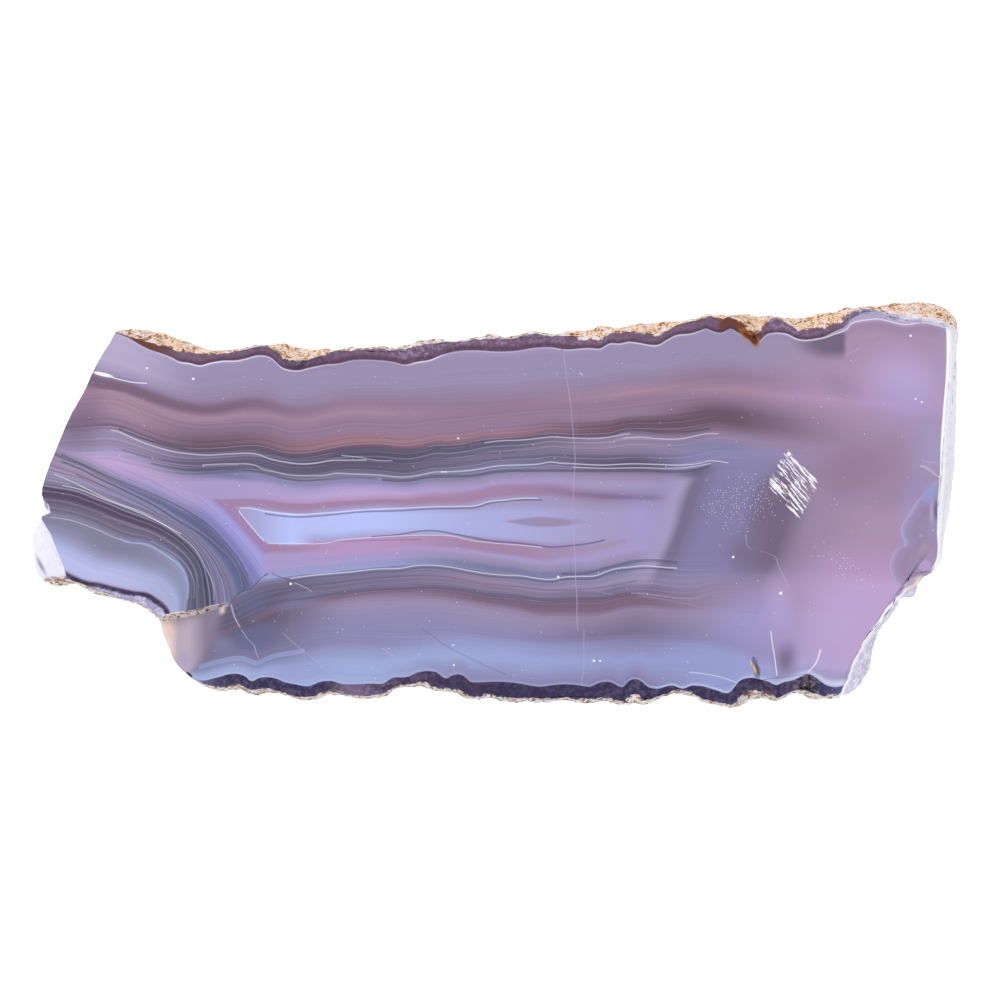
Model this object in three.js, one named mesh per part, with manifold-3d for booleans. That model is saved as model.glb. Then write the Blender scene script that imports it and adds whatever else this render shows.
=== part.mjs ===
import * as THREE from "three";
import { mergeVertices } from "three/addons/utils/BufferGeometryUtils.js";
import Module from "manifold-3d";

// An agate slab: one slice sawn from a banded nodule, lying on its sawn back.
// Millimetres, +Z up, resting face at Z 0, longest side along X.
// The cut face is flat. The rough rind of the nodule is left round the edge.

const THICKNESS = 5.5;
const SAMPLE_STEP = 0.92;
const DIRECTION_SPAN = 5;
const RING_DEPTHS = [0, 0.07, 0.2, 0.38, 0.58, 0.78, 0.93, 1];
const LEAN_POWER = 0.8;
const WORN_EDGE = 0.15;
const WORN_FROM = 0.88;

const LUMP_SIZE = 3.4;
const LUMP_HEIGHT = 0.75;
const GRAIN_SIZE = 1.3;
const GRAIN_HEIGHT = 0.4;
const LUMP_SEED = 11;
const GRAIN_SEED = 29;

const AGATE_COLOUR = 0x8f83a6;
const AGATE_ROUGHNESS = 0.3;

// The edge of the cut face, in eight stretches that run against the clock.
// Each point is x, y and foot: how far the wall below it leans out of the face.
// rough is how lumpy that wall is, from 0 for a clean break to 1 for the rind.

const topRind = {
  rough: 1,
  points: [
    [72.6, 27.8, 2.6], [70.7, 28.3, 4.2], [68.3, 29.0, 3.9], [66.1, 29.4, 3.4], [64.2, 29.8, 2.9],
    [62.2, 30.2, 2.0], [60.0, 30.6, 1.5], [57.9, 30.2, 1.7], [56.5, 29.8, 1.9], [55.4, 28.6, 2.6],
    [53.8, 28.8, 2.3], [52.3, 28.2, 2.8], [50.6, 27.7, 2.8], [48.6, 27.7, 2.5], [47.2, 28.5, 1.5],
    [45.4, 29.6, 0.7], [43.8, 29.6, 0.7], [42.7, 28.6, 1.5], [41.9, 27.5, 2.8], [40.6, 28.0, 2.5],
    [39.7, 29.0, 1.7], [38.9, 29.9, 0.7], [37.4, 29.9, 0.9], [36.3, 29.4, 1.5], [34.7, 29.9, 0.9],
    [32.8, 29.4, 0.9], [30.4, 29.0, 0.7], [28.8, 28.3, 1.2], [27.4, 27.5, 2.0], [25.4, 27.0, 2.2],
    [23.7, 27.7, 1.5], [21.1, 27.5, 1.4], [19.0, 27.7, 0.9], [17.4, 27.2, 1.5], [16.2, 26.7, 1.5],
    [13.6, 26.7, 1.1], [11.0, 26.9, 0.7], [8.0, 26.7, 0.7], [5.6, 26.9, 0.7], [3.5, 26.4, 0.7],
    [1.4, 26.1, 0.9], [-0.8, 26.2, 1.2], [-3.2, 26.1, 0.9], [-5.6, 25.9, 0.7], [-8.3, 25.8, 0.9],
    [-12.3, 25.1, 1.1], [-13.9, 24.5, 0.9], [-16.3, 24.5, 0.7], [-18.7, 24.3, 1.5], [-20.8, 24.5, 0.7],
    [-23.2, 24.5, 0.9], [-26.1, 24.3, 0.7], [-28.2, 24.0, 1.2], [-29.6, 22.9, 2.3], [-31.5, 23.2, 2.2],
    [-33.4, 23.7, 2.3], [-34.7, 24.5, 1.5], [-36.6, 25.0, 0.7], [-39.2, 24.8, 0.9], [-41.4, 24.3, 0.9],
    [-44.3, 23.8, 1.1], [-46.1, 24.3, 0.7], [-48.0, 23.8, 1.9], [-49.6, 24.6, 1.7], [-51.2, 25.3, 1.2],
    [-53.1, 25.1, 2.3], [-55.4, 25.6, 2.2], [-57.4, 26.4, 1.9], [-59.4, 27.0, 0.9], [-60.6, 27.4, 0.4],
  ],
};

const leftBreak = {
  rough: 0.15,
  points: [
    [-61.6, 25.8, 0.2], [-62.6, 24.3, 0.2], [-64.5, 20.8, 0.2], [-65.4, 18.6, 0.2], [-68.0, 13.9, 0.2],
    [-69.3, 10.9, 0.2], [-70.7, 7.5, 0.2], [-71.8, 4.6, 0.2], [-72.5, 1.3, 0.2],
  ],
};

const leftFacet = {
  rough: 0.25,
  points: [
    [-71.5, 0.3, 1.5], [-71.2, -1.1, 2.1], [-72.5, -2.1, 1.4], [-71.7, -4.2, 3.1], [-70.7, -6.6, 4.3],
    [-69.8, -9.0, 4.9], [-68.8, -11.0, 3.6],
  ],
};

const lowerLeftRind = {
  rough: 0.6,
  points: [
    [-67.4, -12.0, 1.2], [-65.4, -13.0, 0.9], [-62.9, -13.9, 1.1], [-60.3, -14.9, 0.7],
    [-57.9, -15.4, 0.7], [-55.8, -16.3, 0.7], [-54.2, -17.4, 0.9],
  ],
};

const notch = {
  rough: 0.4,
  points: [
    [-53.4, -18.9, 0.5], [-52.8, -21.1, 0.5], [-51.8, -23.4, 0.5], [-50.7, -25.6, 0.5],
    [-48.8, -27.4, 0.5], [-47.0, -28.6, 0.5], [-45.1, -29.4, 0.6],
  ],
};

const bottomRind = {
  rough: 0.75,
  points: [
    [-43.0, -29.0, 1.2], [-41.0, -28.5, 1.7], [-39.2, -29.6, 1.2], [-36.6, -29.3, 1.1], [-34.9, -29.9, 0.7],
    [-30.7, -30.9, 1.1], [-29.1, -30.6, 1.2], [-27.5, -29.8, 1.5], [-25.6, -30.1, 0.7], [-23.2, -30.6, 0.7],
    [-20.8, -30.7, 0.7], [-18.4, -30.4, 0.7], [-16.6, -29.1, 1.1], [-13.9, -28.8, 0.9], [-11.4, -28.3, 1.4],
    [-9.6, -29.3, 0.9], [-7.8, -29.9, 0.6], [-6.1, -29.8, 0.9], [-4.3, -30.7, 0.9], [-1.6, -30.9, 0.6],
    [1.6, -31.2, 0.7], [4.8, -31.0, 0.7], [8.2, -31.4, 0.7], [10.9, -30.9, 0.7], [14.4, -31.4, 0.7],
    [17.4, -30.7, 1.1], [20.0, -31.8, 0.7], [23.2, -31.5, 0.7], [25.4, -30.9, 0.9], [27.7, -30.2, 0.7],
    [30.1, -29.9, 0.7], [33.1, -30.9, 0.7], [35.7, -31.7, 0.7], [38.1, -32.0, 0.7], [39.4, -30.9, 1.8],
    [40.6, -29.4, 2.7], [43.2, -29.8, 1.6], [45.4, -30.9, 0.7], [47.2, -29.9, 0.7], [49.3, -29.6, 1.1],
    [51.2, -30.2, 1.2], [53.6, -30.7, 0.6], [55.4, -29.8, 1.5],
  ],
};

const cornerBreak = {
  rough: 0.5,
  points: [
    [56.0, -27.7, 3.4], [56.6, -25.9, 4.0], [58.1, -23.8, 3.1], [59.2, -21.4, 2.5], [60.6, -20.0, 1.7],
    [62.1, -18.2, 1.2], [63.5, -16.5, 1.1], [64.2, -14.4, 1.4], [65.6, -13.1, 2.8], [66.9, -11.0, 2.4],
    [68.8, -11.0, 0.9], [70.2, -10.1, 1.1],
  ],
};

const rightBreak = {
  rough: 0.3,
  points: [
    [70.7, -8.2, 1.6], [70.6, -5.0, 2.0], [70.9, -0.5, 2.7], [71.4, 4.6, 2.7], [71.8, 10.2, 2.7],
    [72.2, 15.0, 2.4], [72.7, 19.8, 2.0], [72.8, 24.6, 1.9],
  ],
};

const stretches = [
  topRind, leftBreak, leftFacet, lowerLeftRind, notch, bottomRind, cornerBreak, rightBreak,
];

// The flake knocked out of the lower left: a rippled dish, stopped by a steep scarp.
const FLAKE_CENTRE = [-60, -13];
const FLAKE_RADIUS = 17.9;
const FLAKE_DEPTH = 3.1;
const FLAKE_RINGS = 11;
const FLAKE_SIDES = 64;
const FLAKE_RIPPLE = 0.09;
const FLAKE_RIPPLES = 5;
const SCARP_TIP = [-42.2, -15.7];
const SCARP_TURN = THREE.MathUtils.degToRad(11.4);
const SCARP_LEAN = THREE.MathUtils.degToRad(14);
const CUTTER_REACH = 40;

// Small pits in the cut face: x, y, half length, half width, depth and turn in degrees.
const PITS = [
  [41.7, -26.3, 2.0, 0.6, 0.7, -78],
  [49.7, -29.5, 1.0, 0.7, 0.9, 15],
  [41.9, 27.2, 0.9, 0.6, 0.8, 60],
];
const PIT_SIDES = 14;

// A repeatable random number from 0 to 1 for a corner of the noise's grid.
function cornerValue(i, j, k, seed) {
  let h = Math.imul(i, 374761393) + Math.imul(j, 668265263) + Math.imul(k, 2147483647 ^ seed);
  h = Math.imul(h ^ (h >>> 13), 1274126177) + seed;
  h = Math.imul(h ^ (h >>> 15), 2246822519);
  return ((h ^ (h >>> 16)) >>> 0) / 4294967296;
}

// Smooth noise from -1 to 1 whose lumps are about one grid cell wide.
function noise(x, y, z, cell, seed) {
  const [u, v, w] = [x / cell, y / cell, z / cell];
  const [i, j, k] = [Math.floor(u), Math.floor(v), Math.floor(w)];
  const ease = (t) => t * t * (3 - 2 * t);
  const [a, b, c] = [ease(u - i), ease(v - j), ease(w - k)];
  let sum = 0;
  for (const [di, dj, dk] of [[0, 0, 0], [1, 0, 0], [0, 1, 0], [1, 1, 0],
                              [0, 0, 1], [1, 0, 1], [0, 1, 1], [1, 1, 1]]) {
    const share = (di ? a : 1 - a) * (dj ? b : 1 - b) * (dk ? c : 1 - c);
    sum += share * cornerValue(i + di, j + dj, k + dk, seed);
  }
  return 2 * sum - 1;
}

// The outline as evenly spaced samples, each with its place, foot, roughness and way out.
function sampleOutline() {
  const points = stretches.flatMap((s) => s.points.map(([x, y, foot]) => new THREE.Vector3(x, y, foot)));
  const roughness = stretches.flatMap((s) => s.points.map(() => s.rough));
  const curve = new THREE.CatmullRomCurve3(points, true, "centripetal");
  curve.arcLengthDivisions = points.length * 12;
  const count = Math.round(curve.getLength() / SAMPLE_STEP);

  const samples = [];
  for (let i = 0; i < count; i += 1) {
    const t = curve.getUtoTmapping(i / count);
    const at = curve.getPoint(t);
    const place = t * points.length;
    const before = Math.floor(place) % points.length;
    const after = (before + 1) % points.length;
    const rough = THREE.MathUtils.lerp(roughness[before], roughness[after], place - Math.floor(place));
    samples.push({ x: at.x, y: at.y, foot: Math.max(at.z, 0), rough });
  }

  for (let i = 0; i < count; i += 1) {
    const back = samples[(i - DIRECTION_SPAN + count) % count];
    const ahead = samples[(i + DIRECTION_SPAN) % count];
    const along = new THREE.Vector2(ahead.x - back.x, ahead.y - back.y).normalize();
    samples[i].outX = along.y;
    samples[i].outY = -along.x;
  }
  return samples;
}

// Where the wall stands below one sample, at a depth from 0, the cut face, to 1, the back.
function wallPoint(sample, depth) {
  const z = THICKNESS * (1 - depth);
  const lumps = LUMP_HEIGHT * noise(sample.x, sample.y, z, LUMP_SIZE, LUMP_SEED)
    + GRAIN_HEIGHT * noise(sample.x, sample.y, z, GRAIN_SIZE, GRAIN_SEED);
  const envelope = Math.min(1, depth * 4) * Math.min(1, 0.35 + (1 - depth) * 2);
  const worn = WORN_EDGE * THREE.MathUtils.smoothstep(depth, WORN_FROM, 1);
  const out = sample.foot * depth ** LEAN_POWER + sample.rough * lumps * envelope - worn;
  return [sample.x + sample.outX * out, sample.y + sample.outY * out, z];
}

// The slab before anything is broken out of it: rings down the wall, capped at both ends.
function makeSlab() {
  const samples = sampleOutline();
  const count = samples.length;
  const rings = RING_DEPTHS.map((depth) => samples.map((sample) => wallPoint(sample, depth)));
  const positions = rings.flat(2);
  const triangles = [];

  for (let ring = 0; ring < rings.length - 1; ring += 1) {
    for (let i = 0; i < count; i += 1) {
      const next = (i + 1) % count;
      const upper = ring * count + i;
      const upperNext = ring * count + next;
      const lower = upper + count;
      const lowerNext = upperNext + count;
      triangles.push(upper, lower, lowerNext, upper, lowerNext, upperNext);
    }
  }

  const contour = (ring) => rings[ring].map(([x, y]) => new THREE.Vector2(x, y));
  const last = rings.length - 1;
  for (const [a, b, c] of THREE.ShapeUtils.triangulateShape(contour(0), [])) {
    triangles.push(a, b, c);
  }
  for (const [a, b, c] of THREE.ShapeUtils.triangulateShape(contour(last), [])) {
    triangles.push(last * count + a, last * count + c, last * count + b);
  }

  const geometry = new THREE.BufferGeometry();
  geometry.setAttribute("position", new THREE.Float32BufferAttribute(positions, 3));
  geometry.setIndex(triangles);
  return geometry;
}

// The dish of the flake: a shallow bowl with ripples round the point where it was struck.
function makeFlakeDish() {
  const profile = [];
  for (let i = 0; i <= FLAKE_RINGS; i += 1) {
    const share = i / FLAKE_RINGS;
    const ripple = FLAKE_RIPPLE * Math.sin(share * FLAKE_RIPPLES * 2 * Math.PI) * share;
    profile.push(new THREE.Vector2(FLAKE_RADIUS * share, FLAKE_DEPTH * (share ** 2 - 1) + ripple));
  }
  profile.push(new THREE.Vector2(FLAKE_RADIUS, THICKNESS));
  profile.push(new THREE.Vector2(0, THICKNESS));
  const dish = new THREE.LatheGeometry(profile, FLAKE_SIDES);
  dish.rotateX(Math.PI / 2);
  dish.translate(FLAKE_CENTRE[0], FLAKE_CENTRE[1], THICKNESS);
  return dish;
}

// The block whose far side is the scarp, where the flake broke off short.
function makeScarpBlock() {
  const block = new THREE.BoxGeometry(2 * CUTTER_REACH, CUTTER_REACH, CUTTER_REACH);
  block.translate(0, -CUTTER_REACH / 2, 0);
  block.rotateX(-SCARP_LEAN);
  block.rotateZ(SCARP_TURN);
  block.translate(SCARP_TIP[0], SCARP_TIP[1], THICKNESS);
  return block;
}

function makePit([x, y, halfLength, halfWidth, depth, turn]) {
  const pit = new THREE.SphereGeometry(1, PIT_SIDES, PIT_SIDES / 2);
  pit.scale(halfLength, halfWidth, depth);
  pit.rotateZ(THREE.MathUtils.degToRad(turn));
  pit.translate(x, y, THICKNESS);
  return pit;
}

const wasm = await Module();
wasm.setup();

function toSolid(geometry) {
  const bare = geometry.clone();
  bare.deleteAttribute("normal");
  bare.deleteAttribute("uv");
  const merged = mergeVertices(bare, 1e-4);
  return new wasm.Manifold(new wasm.Mesh({
    numProp: 3,
    vertProperties: new Float32Array(merged.attributes.position.array),
    triVerts: new Uint32Array(merged.index.array),
  }));
}

function toGeometry(solid) {
  const mesh = solid.getMesh();
  const geometry = new THREE.BufferGeometry();
  geometry.setAttribute("position", new THREE.BufferAttribute(new Float32Array(mesh.vertProperties), 3));
  geometry.setIndex(new THREE.BufferAttribute(new Uint32Array(mesh.triVerts), 1));
  return geometry;
}

const flake = toSolid(makeFlakeDish()).intersect(toSolid(makeScarpBlock()));
let slab = toSolid(makeSlab()).subtract(flake);
for (const pit of PITS) {
  slab = slab.subtract(toSolid(makePit(pit)));
}

// The outline is brought to the middle, so that the origin is under the slab's centre.
const geometry = toGeometry(slab);
geometry.computeBoundingBox();
const middle = geometry.boundingBox.getCenter(new THREE.Vector3());
geometry.translate(-middle.x, -middle.y, -geometry.boundingBox.min.z);
geometry.computeVertexNormals();

const agateSlab = new THREE.Mesh(
  geometry,
  new THREE.MeshStandardMaterial({ color: AGATE_COLOUR, roughness: AGATE_ROUGHNESS, metalness: 0 }),
);
agateSlab.name = "agate_slab";

const group = new THREE.Group();
group.add(agateSlab);

export default group;
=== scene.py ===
from math import radians

import bpy
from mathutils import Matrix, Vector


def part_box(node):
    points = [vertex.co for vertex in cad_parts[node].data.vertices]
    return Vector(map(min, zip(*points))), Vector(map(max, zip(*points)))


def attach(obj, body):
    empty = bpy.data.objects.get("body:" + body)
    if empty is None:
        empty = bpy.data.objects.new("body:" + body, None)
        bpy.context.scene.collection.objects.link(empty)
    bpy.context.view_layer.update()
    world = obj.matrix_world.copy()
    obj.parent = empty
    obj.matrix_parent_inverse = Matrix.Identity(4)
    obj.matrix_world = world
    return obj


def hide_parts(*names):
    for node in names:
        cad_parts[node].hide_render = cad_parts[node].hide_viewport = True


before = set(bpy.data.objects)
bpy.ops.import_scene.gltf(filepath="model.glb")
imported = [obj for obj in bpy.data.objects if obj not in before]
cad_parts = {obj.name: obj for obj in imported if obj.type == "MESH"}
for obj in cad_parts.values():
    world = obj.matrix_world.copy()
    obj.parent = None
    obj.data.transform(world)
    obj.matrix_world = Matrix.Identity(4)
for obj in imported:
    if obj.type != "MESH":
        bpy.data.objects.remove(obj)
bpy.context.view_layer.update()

# The viewpoint: straight down on the slab from arm's length, with the slab lying along the
# picture's width, a little above and to the left of its middle.
MM = 0.001
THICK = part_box("agate_slab")[1][2]
VIEW_HEIGHT = 600 * MM
VIEW_CENTRE = (0.787 * MM, 0.718 * MM)
LENS = 135
FILM_WIDTH = 36

view = bpy.data.objects.new("viewpoint", bpy.data.cameras.new("viewpoint"))
view.data.lens = LENS
view.data.sensor_width = FILM_WIDTH
view.location = (*VIEW_CENTRE, THICK + VIEW_HEIGHT)
bpy.context.scene.collection.objects.link(view)
bpy.context.scene.camera = view

# The table: one pale sheet that glows a little, as on a light table, so that hardly any shadow
# shows round the stone.
SHEET_SIZE = 4.0
SHEET_DROP = 0.02 * MM
PAPER_WHITE = (0.9, 0.9, 0.9, 1)
GLOW_WHITE = (1, 0.995, 0.985, 1)
GLOW = 0.42

bpy.ops.object.select_all(action="DESELECT")
bpy.ops.mesh.primitive_plane_add(size=SHEET_SIZE, location=(0, 0, -SHEET_DROP))
table = bpy.context.object
table.name = "table_sheet"
paper = bpy.data.materials.new("pale_paper")
paper.use_nodes = True
paper_skin = paper.node_tree.nodes["Principled BSDF"]
paper_skin.inputs["Base Color"].default_value = PAPER_WHITE
paper_skin.inputs["Roughness"].default_value = 0.9
paper_skin.inputs["Specular IOR Level"].default_value = 0.1
paper_skin.inputs["Emission Color"].default_value = GLOW_WHITE
paper_skin.inputs["Emission Strength"].default_value = GLOW
table.data.materials.append(paper)

# The light: an even white sky, and two large soft panels to the upper left and lower right, out
# of the polished face's mirror line.
SKY_STRENGTH = 0.66
PANEL_SIZE = 0.9

sky = bpy.data.worlds.new("even_sky")
sky.use_nodes = True
sky.node_tree.nodes["Background"].inputs["Color"].default_value = (1, 1, 1, 1)
sky.node_tree.nodes["Background"].inputs["Strength"].default_value = SKY_STRENGTH
bpy.context.scene.world = sky
bpy.context.scene.view_settings.view_transform = "Standard"
for name, place, power in (
    ("upper_left_panel", (-0.9, 0.8, 1.1), 13.0),
    ("lower_right_panel", (0.8, -1.0, 1.2), 7.0),
):
    panel = bpy.data.objects.new(name, bpy.data.lights.new(name, "AREA"))
    panel.data.size = PANEL_SIZE
    panel.data.energy = power
    panel.location = place
    aim = -panel.location
    panel.rotation_euler = aim.to_track_quat("-Z", "Y").to_euler()
    bpy.context.scene.collection.objects.link(panel)

# The slab: one sawn plate of banded agate. Its two cut faces stay flat, and its walls are the
# stone's own crust along the top and bottom and broken glassy quartz at the ends.
WALL_CUTS = 2
WELD_GAP = 0.001 * MM
FACE_GAP = 0.01 * MM

bpy.ops.object.select_all(action="DESELECT")
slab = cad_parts["agate_slab"].copy()
slab.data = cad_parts["agate_slab"].data.copy()
slab.name = "banded_slab"
slab.parent = None
for key in list(slab.keys()):
    del slab[key]
slab.data.materials.clear()
bpy.context.scene.collection.objects.link(slab)
slab.select_set(True)
bpy.context.view_layer.objects.active = slab
bpy.ops.object.mode_set(mode="EDIT")
bpy.ops.mesh.select_all(action="SELECT")
bpy.ops.mesh.remove_doubles(threshold=WELD_GAP)
bpy.ops.object.mode_set(mode="OBJECT")


def is_sawn(face):
    """True for a face that is part of one of the two sawn faces."""
    heights = [slab.data.vertices[corner].co.z for corner in face.vertices]
    return max(heights) < FACE_GAP or min(heights) > THICK - FACE_GAP


def pick_faces(sawn):
    """Opens the slab for editing with only its sawn faces picked, or only its walls."""
    bpy.ops.object.mode_set(mode="EDIT")
    bpy.ops.mesh.select_mode(type="FACE")
    bpy.ops.mesh.select_all(action="DESELECT")
    bpy.ops.object.mode_set(mode="OBJECT")
    for face in slab.data.polygons:
        face.select = is_sawn(face) == sawn
    bpy.ops.object.mode_set(mode="EDIT")


pick_faces(sawn=False)
bpy.ops.mesh.subdivide(number_cuts=WALL_CUTS)
bpy.ops.mesh.select_all(action="DESELECT")
bpy.ops.object.mode_set(mode="OBJECT")
for face in slab.data.polygons:
    face.use_smooth = not is_sawn(face)

# The sawn faces are single polygons while the walls are roughened, and triangles again after it.
pick_faces(sawn=True)
bpy.ops.mesh.dissolve_faces()
bpy.ops.object.mode_set(mode="OBJECT")

# The walls' roughness: lumps and pits of a millimetre or less all along the crust, and fainter
# ones where the stone broke. They shift the wall sideways only, so that the sawn faces stay flat.
CRUST_ROUGH = 0.75 * MM
BROKEN_END_SHARE = 0.3
CHIP_SHARE = 0.12

rough_walls = slab.vertex_groups.new(name="rough_walls")
for face in slab.data.polygons:
    if face.use_smooth:
        for corner in face.vertices:
            x, y = (value / MM for value in slab.data.vertices[corner].co[:2])
            at_left = x < -59.5 and y > -11.5
            at_right = x > 70.0 and y > -11.0
            in_chip = -54.5 < x < -41.5 and y < -14.5
            share = BROKEN_END_SHARE if at_left or at_right else CHIP_SHARE if in_chip else 1.0
            rough_walls.add([corner], share, "REPLACE")
for way, lump, basis in (("X", 1.1, "BLENDER_ORIGINAL"), ("Y", 0.9, "ORIGINAL_PERLIN")):
    clouds = bpy.data.textures.new("crust_lumps_" + way.lower(), "CLOUDS")
    clouds.noise_scale = lump * MM
    clouds.noise_depth = 3
    clouds.noise_basis = basis
    push = slab.modifiers.new("roughen", "DISPLACE")
    push.texture = clouds
    push.texture_coords = "LOCAL"
    push.direction = way
    push.vertex_group = "rough_walls"
    push.mid_level = 0.5
    push.strength = CRUST_ROUGH
    bpy.ops.object.modifier_apply(modifier=push.name)
bpy.ops.object.mode_set(mode="EDIT")
bpy.ops.mesh.select_all(action="SELECT")
bpy.ops.mesh.quads_convert_to_tris(quad_method="BEAUTY", ngon_method="CLIP")
bpy.ops.mesh.select_all(action="DESELECT")
bpy.ops.object.mode_set(mode="OBJECT")

# Where each face lies on the slab's colour map: the top face over the
# bottom face, and the walls in three strips below them, all at nearly the same scale.
MAP_WIDTH = 152 * MM
MAP_HALF = 75.5 * MM
TOP_ROW = 119 * MM
UNDER_ROW = 52 * MM
RIGHT_END_PLACE = 37 * MM
LEFT_END_PLACE = 112 * MM
STRIP = 6.05 * MM
STRIP_EDGE = 0.2 * MM

color_map = slab.data.uv_layers.new(name="OFBake")
for face in slab.data.polygons:
    for loop in face.loop_indices:
        x, y, z = slab.data.vertices[slab.data.loops[loop].vertex_index].co
        if not face.use_smooth:
            u, v = x + MAP_HALF, y + (TOP_ROW if face.normal.z > 0 else UNDER_ROW)
        elif abs(face.normal.y) >= abs(face.normal.x):
            u, v = x + MAP_HALF, z + (STRIP if face.normal.y > 0 else 0.0) + STRIP_EDGE
        else:
            u = y + (RIGHT_END_PLACE if face.normal.x > 0 else LEFT_END_PLACE)
            v = z + 2 * STRIP + STRIP_EDGE
        color_map.data[loop].uv = (u / MAP_WIDTH, v / MAP_WIDTH)

# The growth lines: chalcedony grew inwards from the crust, layer on layer, so each band follows
# the one outside it. These are the lines that the bands keep to on the cut face, in millimetres,
# from the crust inwards: from the top, from the bottom, and round the lobe at the lower left.
top_crust_line = [
    (-63.2, 28.7), (-60.5, 27.3), (-58.7, 26.6), (-56.8, 25.5), (-55.2, 24.7), (-53.6, 24.2),
    (-52.0, 23.6), (-50.4, 22.8), (-48.8, 22.6), (-47.2, 22.2), (-46.1, 22.5), (-44.8, 22.8),
    (-43.2, 23.0), (-41.6, 23.0), (-40.0, 23.3), (-38.1, 23.8), (-36.8, 23.8), (-35.7, 23.4),
    (-34.9, 22.6), (-33.9, 21.8), (-32.8, 21.5), (-31.5, 21.4), (-29.9, 21.8), (-28.0, 22.2),
    (-25.6, 22.6), (-22.9, 23.3), (-18.4, 23.3), (-16.0, 23.0), (-14.4, 22.6), (-12.8, 23.0),
    (-10.4, 23.4), (-8.7, 24.1), (-6.4, 24.7), (-3.2, 24.9), (0.8, 24.7), (4.0, 24.9), (5.6, 25.2),
    (8.8, 25.4), (11.5, 25.0), (15.2, 25.0), (16.8, 24.9), (17.7, 25.4), (18.5, 25.8), (20.0, 25.7),
    (21.1, 26.0), (23.2, 25.8), (24.8, 25.5), (26.1, 25.5), (27.0, 26.0), (28.0, 26.6),
    (29.1, 27.1), (31.2, 27.3), (32.8, 27.8), (33.7, 28.1), (35.0, 27.6), (36.3, 27.4),
    (37.6, 28.1), (38.9, 27.4), (40.8, 26.3), (42.1, 25.8), (42.9, 26.8), (43.7, 27.3),
    (46.7, 27.3), (48.0, 26.6), (49.6, 26.3), (51.2, 26.5), (52.8, 26.8), (54.4, 27.4),
    (56.0, 27.9), (56.8, 28.9), (57.9, 29.4), (60.0, 29.7), (61.3, 29.8), (62.7, 29.5),
    (64.0, 29.2), (65.3, 28.9), (66.7, 29.0), (68.0, 29.2), (70.4, 28.9), (72.8, 28.1),
]
top_smoke_line = [
    (-69.6, 21.2), (-65.1, 19.9), (-63.2, 19.0), (-60.8, 18.6), (-58.4, 18.2), (-56.0, 17.4),
    (-53.6, 16.6), (-51.2, 15.9), (-48.8, 15.4), (-46.4, 15.1), (-44.0, 15.3), (-40.8, 15.9),
    (-37.9, 16.1), (-35.7, 15.6), (-32.8, 15.0), (-30.4, 15.0), (-28.0, 15.4), (-25.6, 16.1),
    (-23.2, 16.2), (-18.4, 16.2), (-12.0, 16.1), (-5.6, 15.9), (0.8, 16.1), (7.2, 16.4),
    (12.0, 16.7), (16.8, 17.2), (23.2, 18.0), (29.6, 18.8), (34.4, 19.4), (40.8, 19.3),
    (48.8, 18.3), (56.8, 17.5), (64.8, 16.7), (72.8, 15.9),
]
top_pink_line = [
    (-71.2, 17.4), (-66.4, 18.0), (-63.2, 18.2), (-60.8, 18.0), (-59.2, 17.5), (-57.6, 16.7),
    (-55.2, 15.8), (-52.8, 14.8), (-50.4, 14.0), (-47.2, 13.5), (-44.0, 13.5), (-40.8, 13.8),
    (-37.9, 13.8), (-35.2, 13.4), (-32.5, 12.6), (-30.4, 12.6), (-28.0, 12.9), (-23.2, 13.7),
    (-18.4, 13.5), (-13.6, 13.4), (-10.4, 13.8), (-4.0, 14.3), (0.8, 14.8), (7.2, 15.3),
    (13.6, 15.4), (20.0, 15.9), (26.4, 16.7), (32.8, 17.4), (39.2, 17.0), (45.6, 16.1),
    (56.8, 15.1), (72.8, 13.5),
]
top_dark_line = [
    (-71.2, 11.3), (-69.3, 11.6), (-66.4, 11.9), (-63.2, 12.1), (-61.6, 12.1), (-60.0, 11.8),
    (-58.4, 11.3), (-56.8, 10.6), (-55.2, 10.0), (-53.6, 9.4), (-52.0, 9.0), (-50.4, 8.7),
    (-48.0, 8.5), (-45.6, 8.5), (-43.2, 8.6), (-40.8, 8.8), (-37.9, 8.8), (-36.3, 8.5),
    (-34.7, 7.9), (-32.8, 7.6), (-30.7, 7.6), (-28.8, 7.8), (-26.4, 8.3), (-24.0, 8.7),
    (-21.6, 8.9), (-19.2, 9.0), (-17.6, 8.9), (-16.0, 8.7), (-14.4, 8.6), (-12.8, 8.7),
    (-11.2, 9.0), (-9.3, 9.5), (-8.0, 9.4), (-6.4, 9.5), (-4.8, 9.7), (-3.2, 10.0), (-2.1, 10.3),
    (0.8, 10.5), (4.0, 10.6), (7.2, 11.0), (8.8, 11.2), (12.0, 11.0), (16.8, 11.0), (18.4, 11.1),
    (20.0, 11.6), (21.6, 11.8), (26.4, 11.6), (29.6, 11.6), (31.2, 11.8), (32.8, 12.1),
    (35.2, 12.6), (39.2, 12.1), (45.6, 11.3), (53.6, 10.0), (64.8, 8.4), (72.8, 7.8),
]
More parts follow.
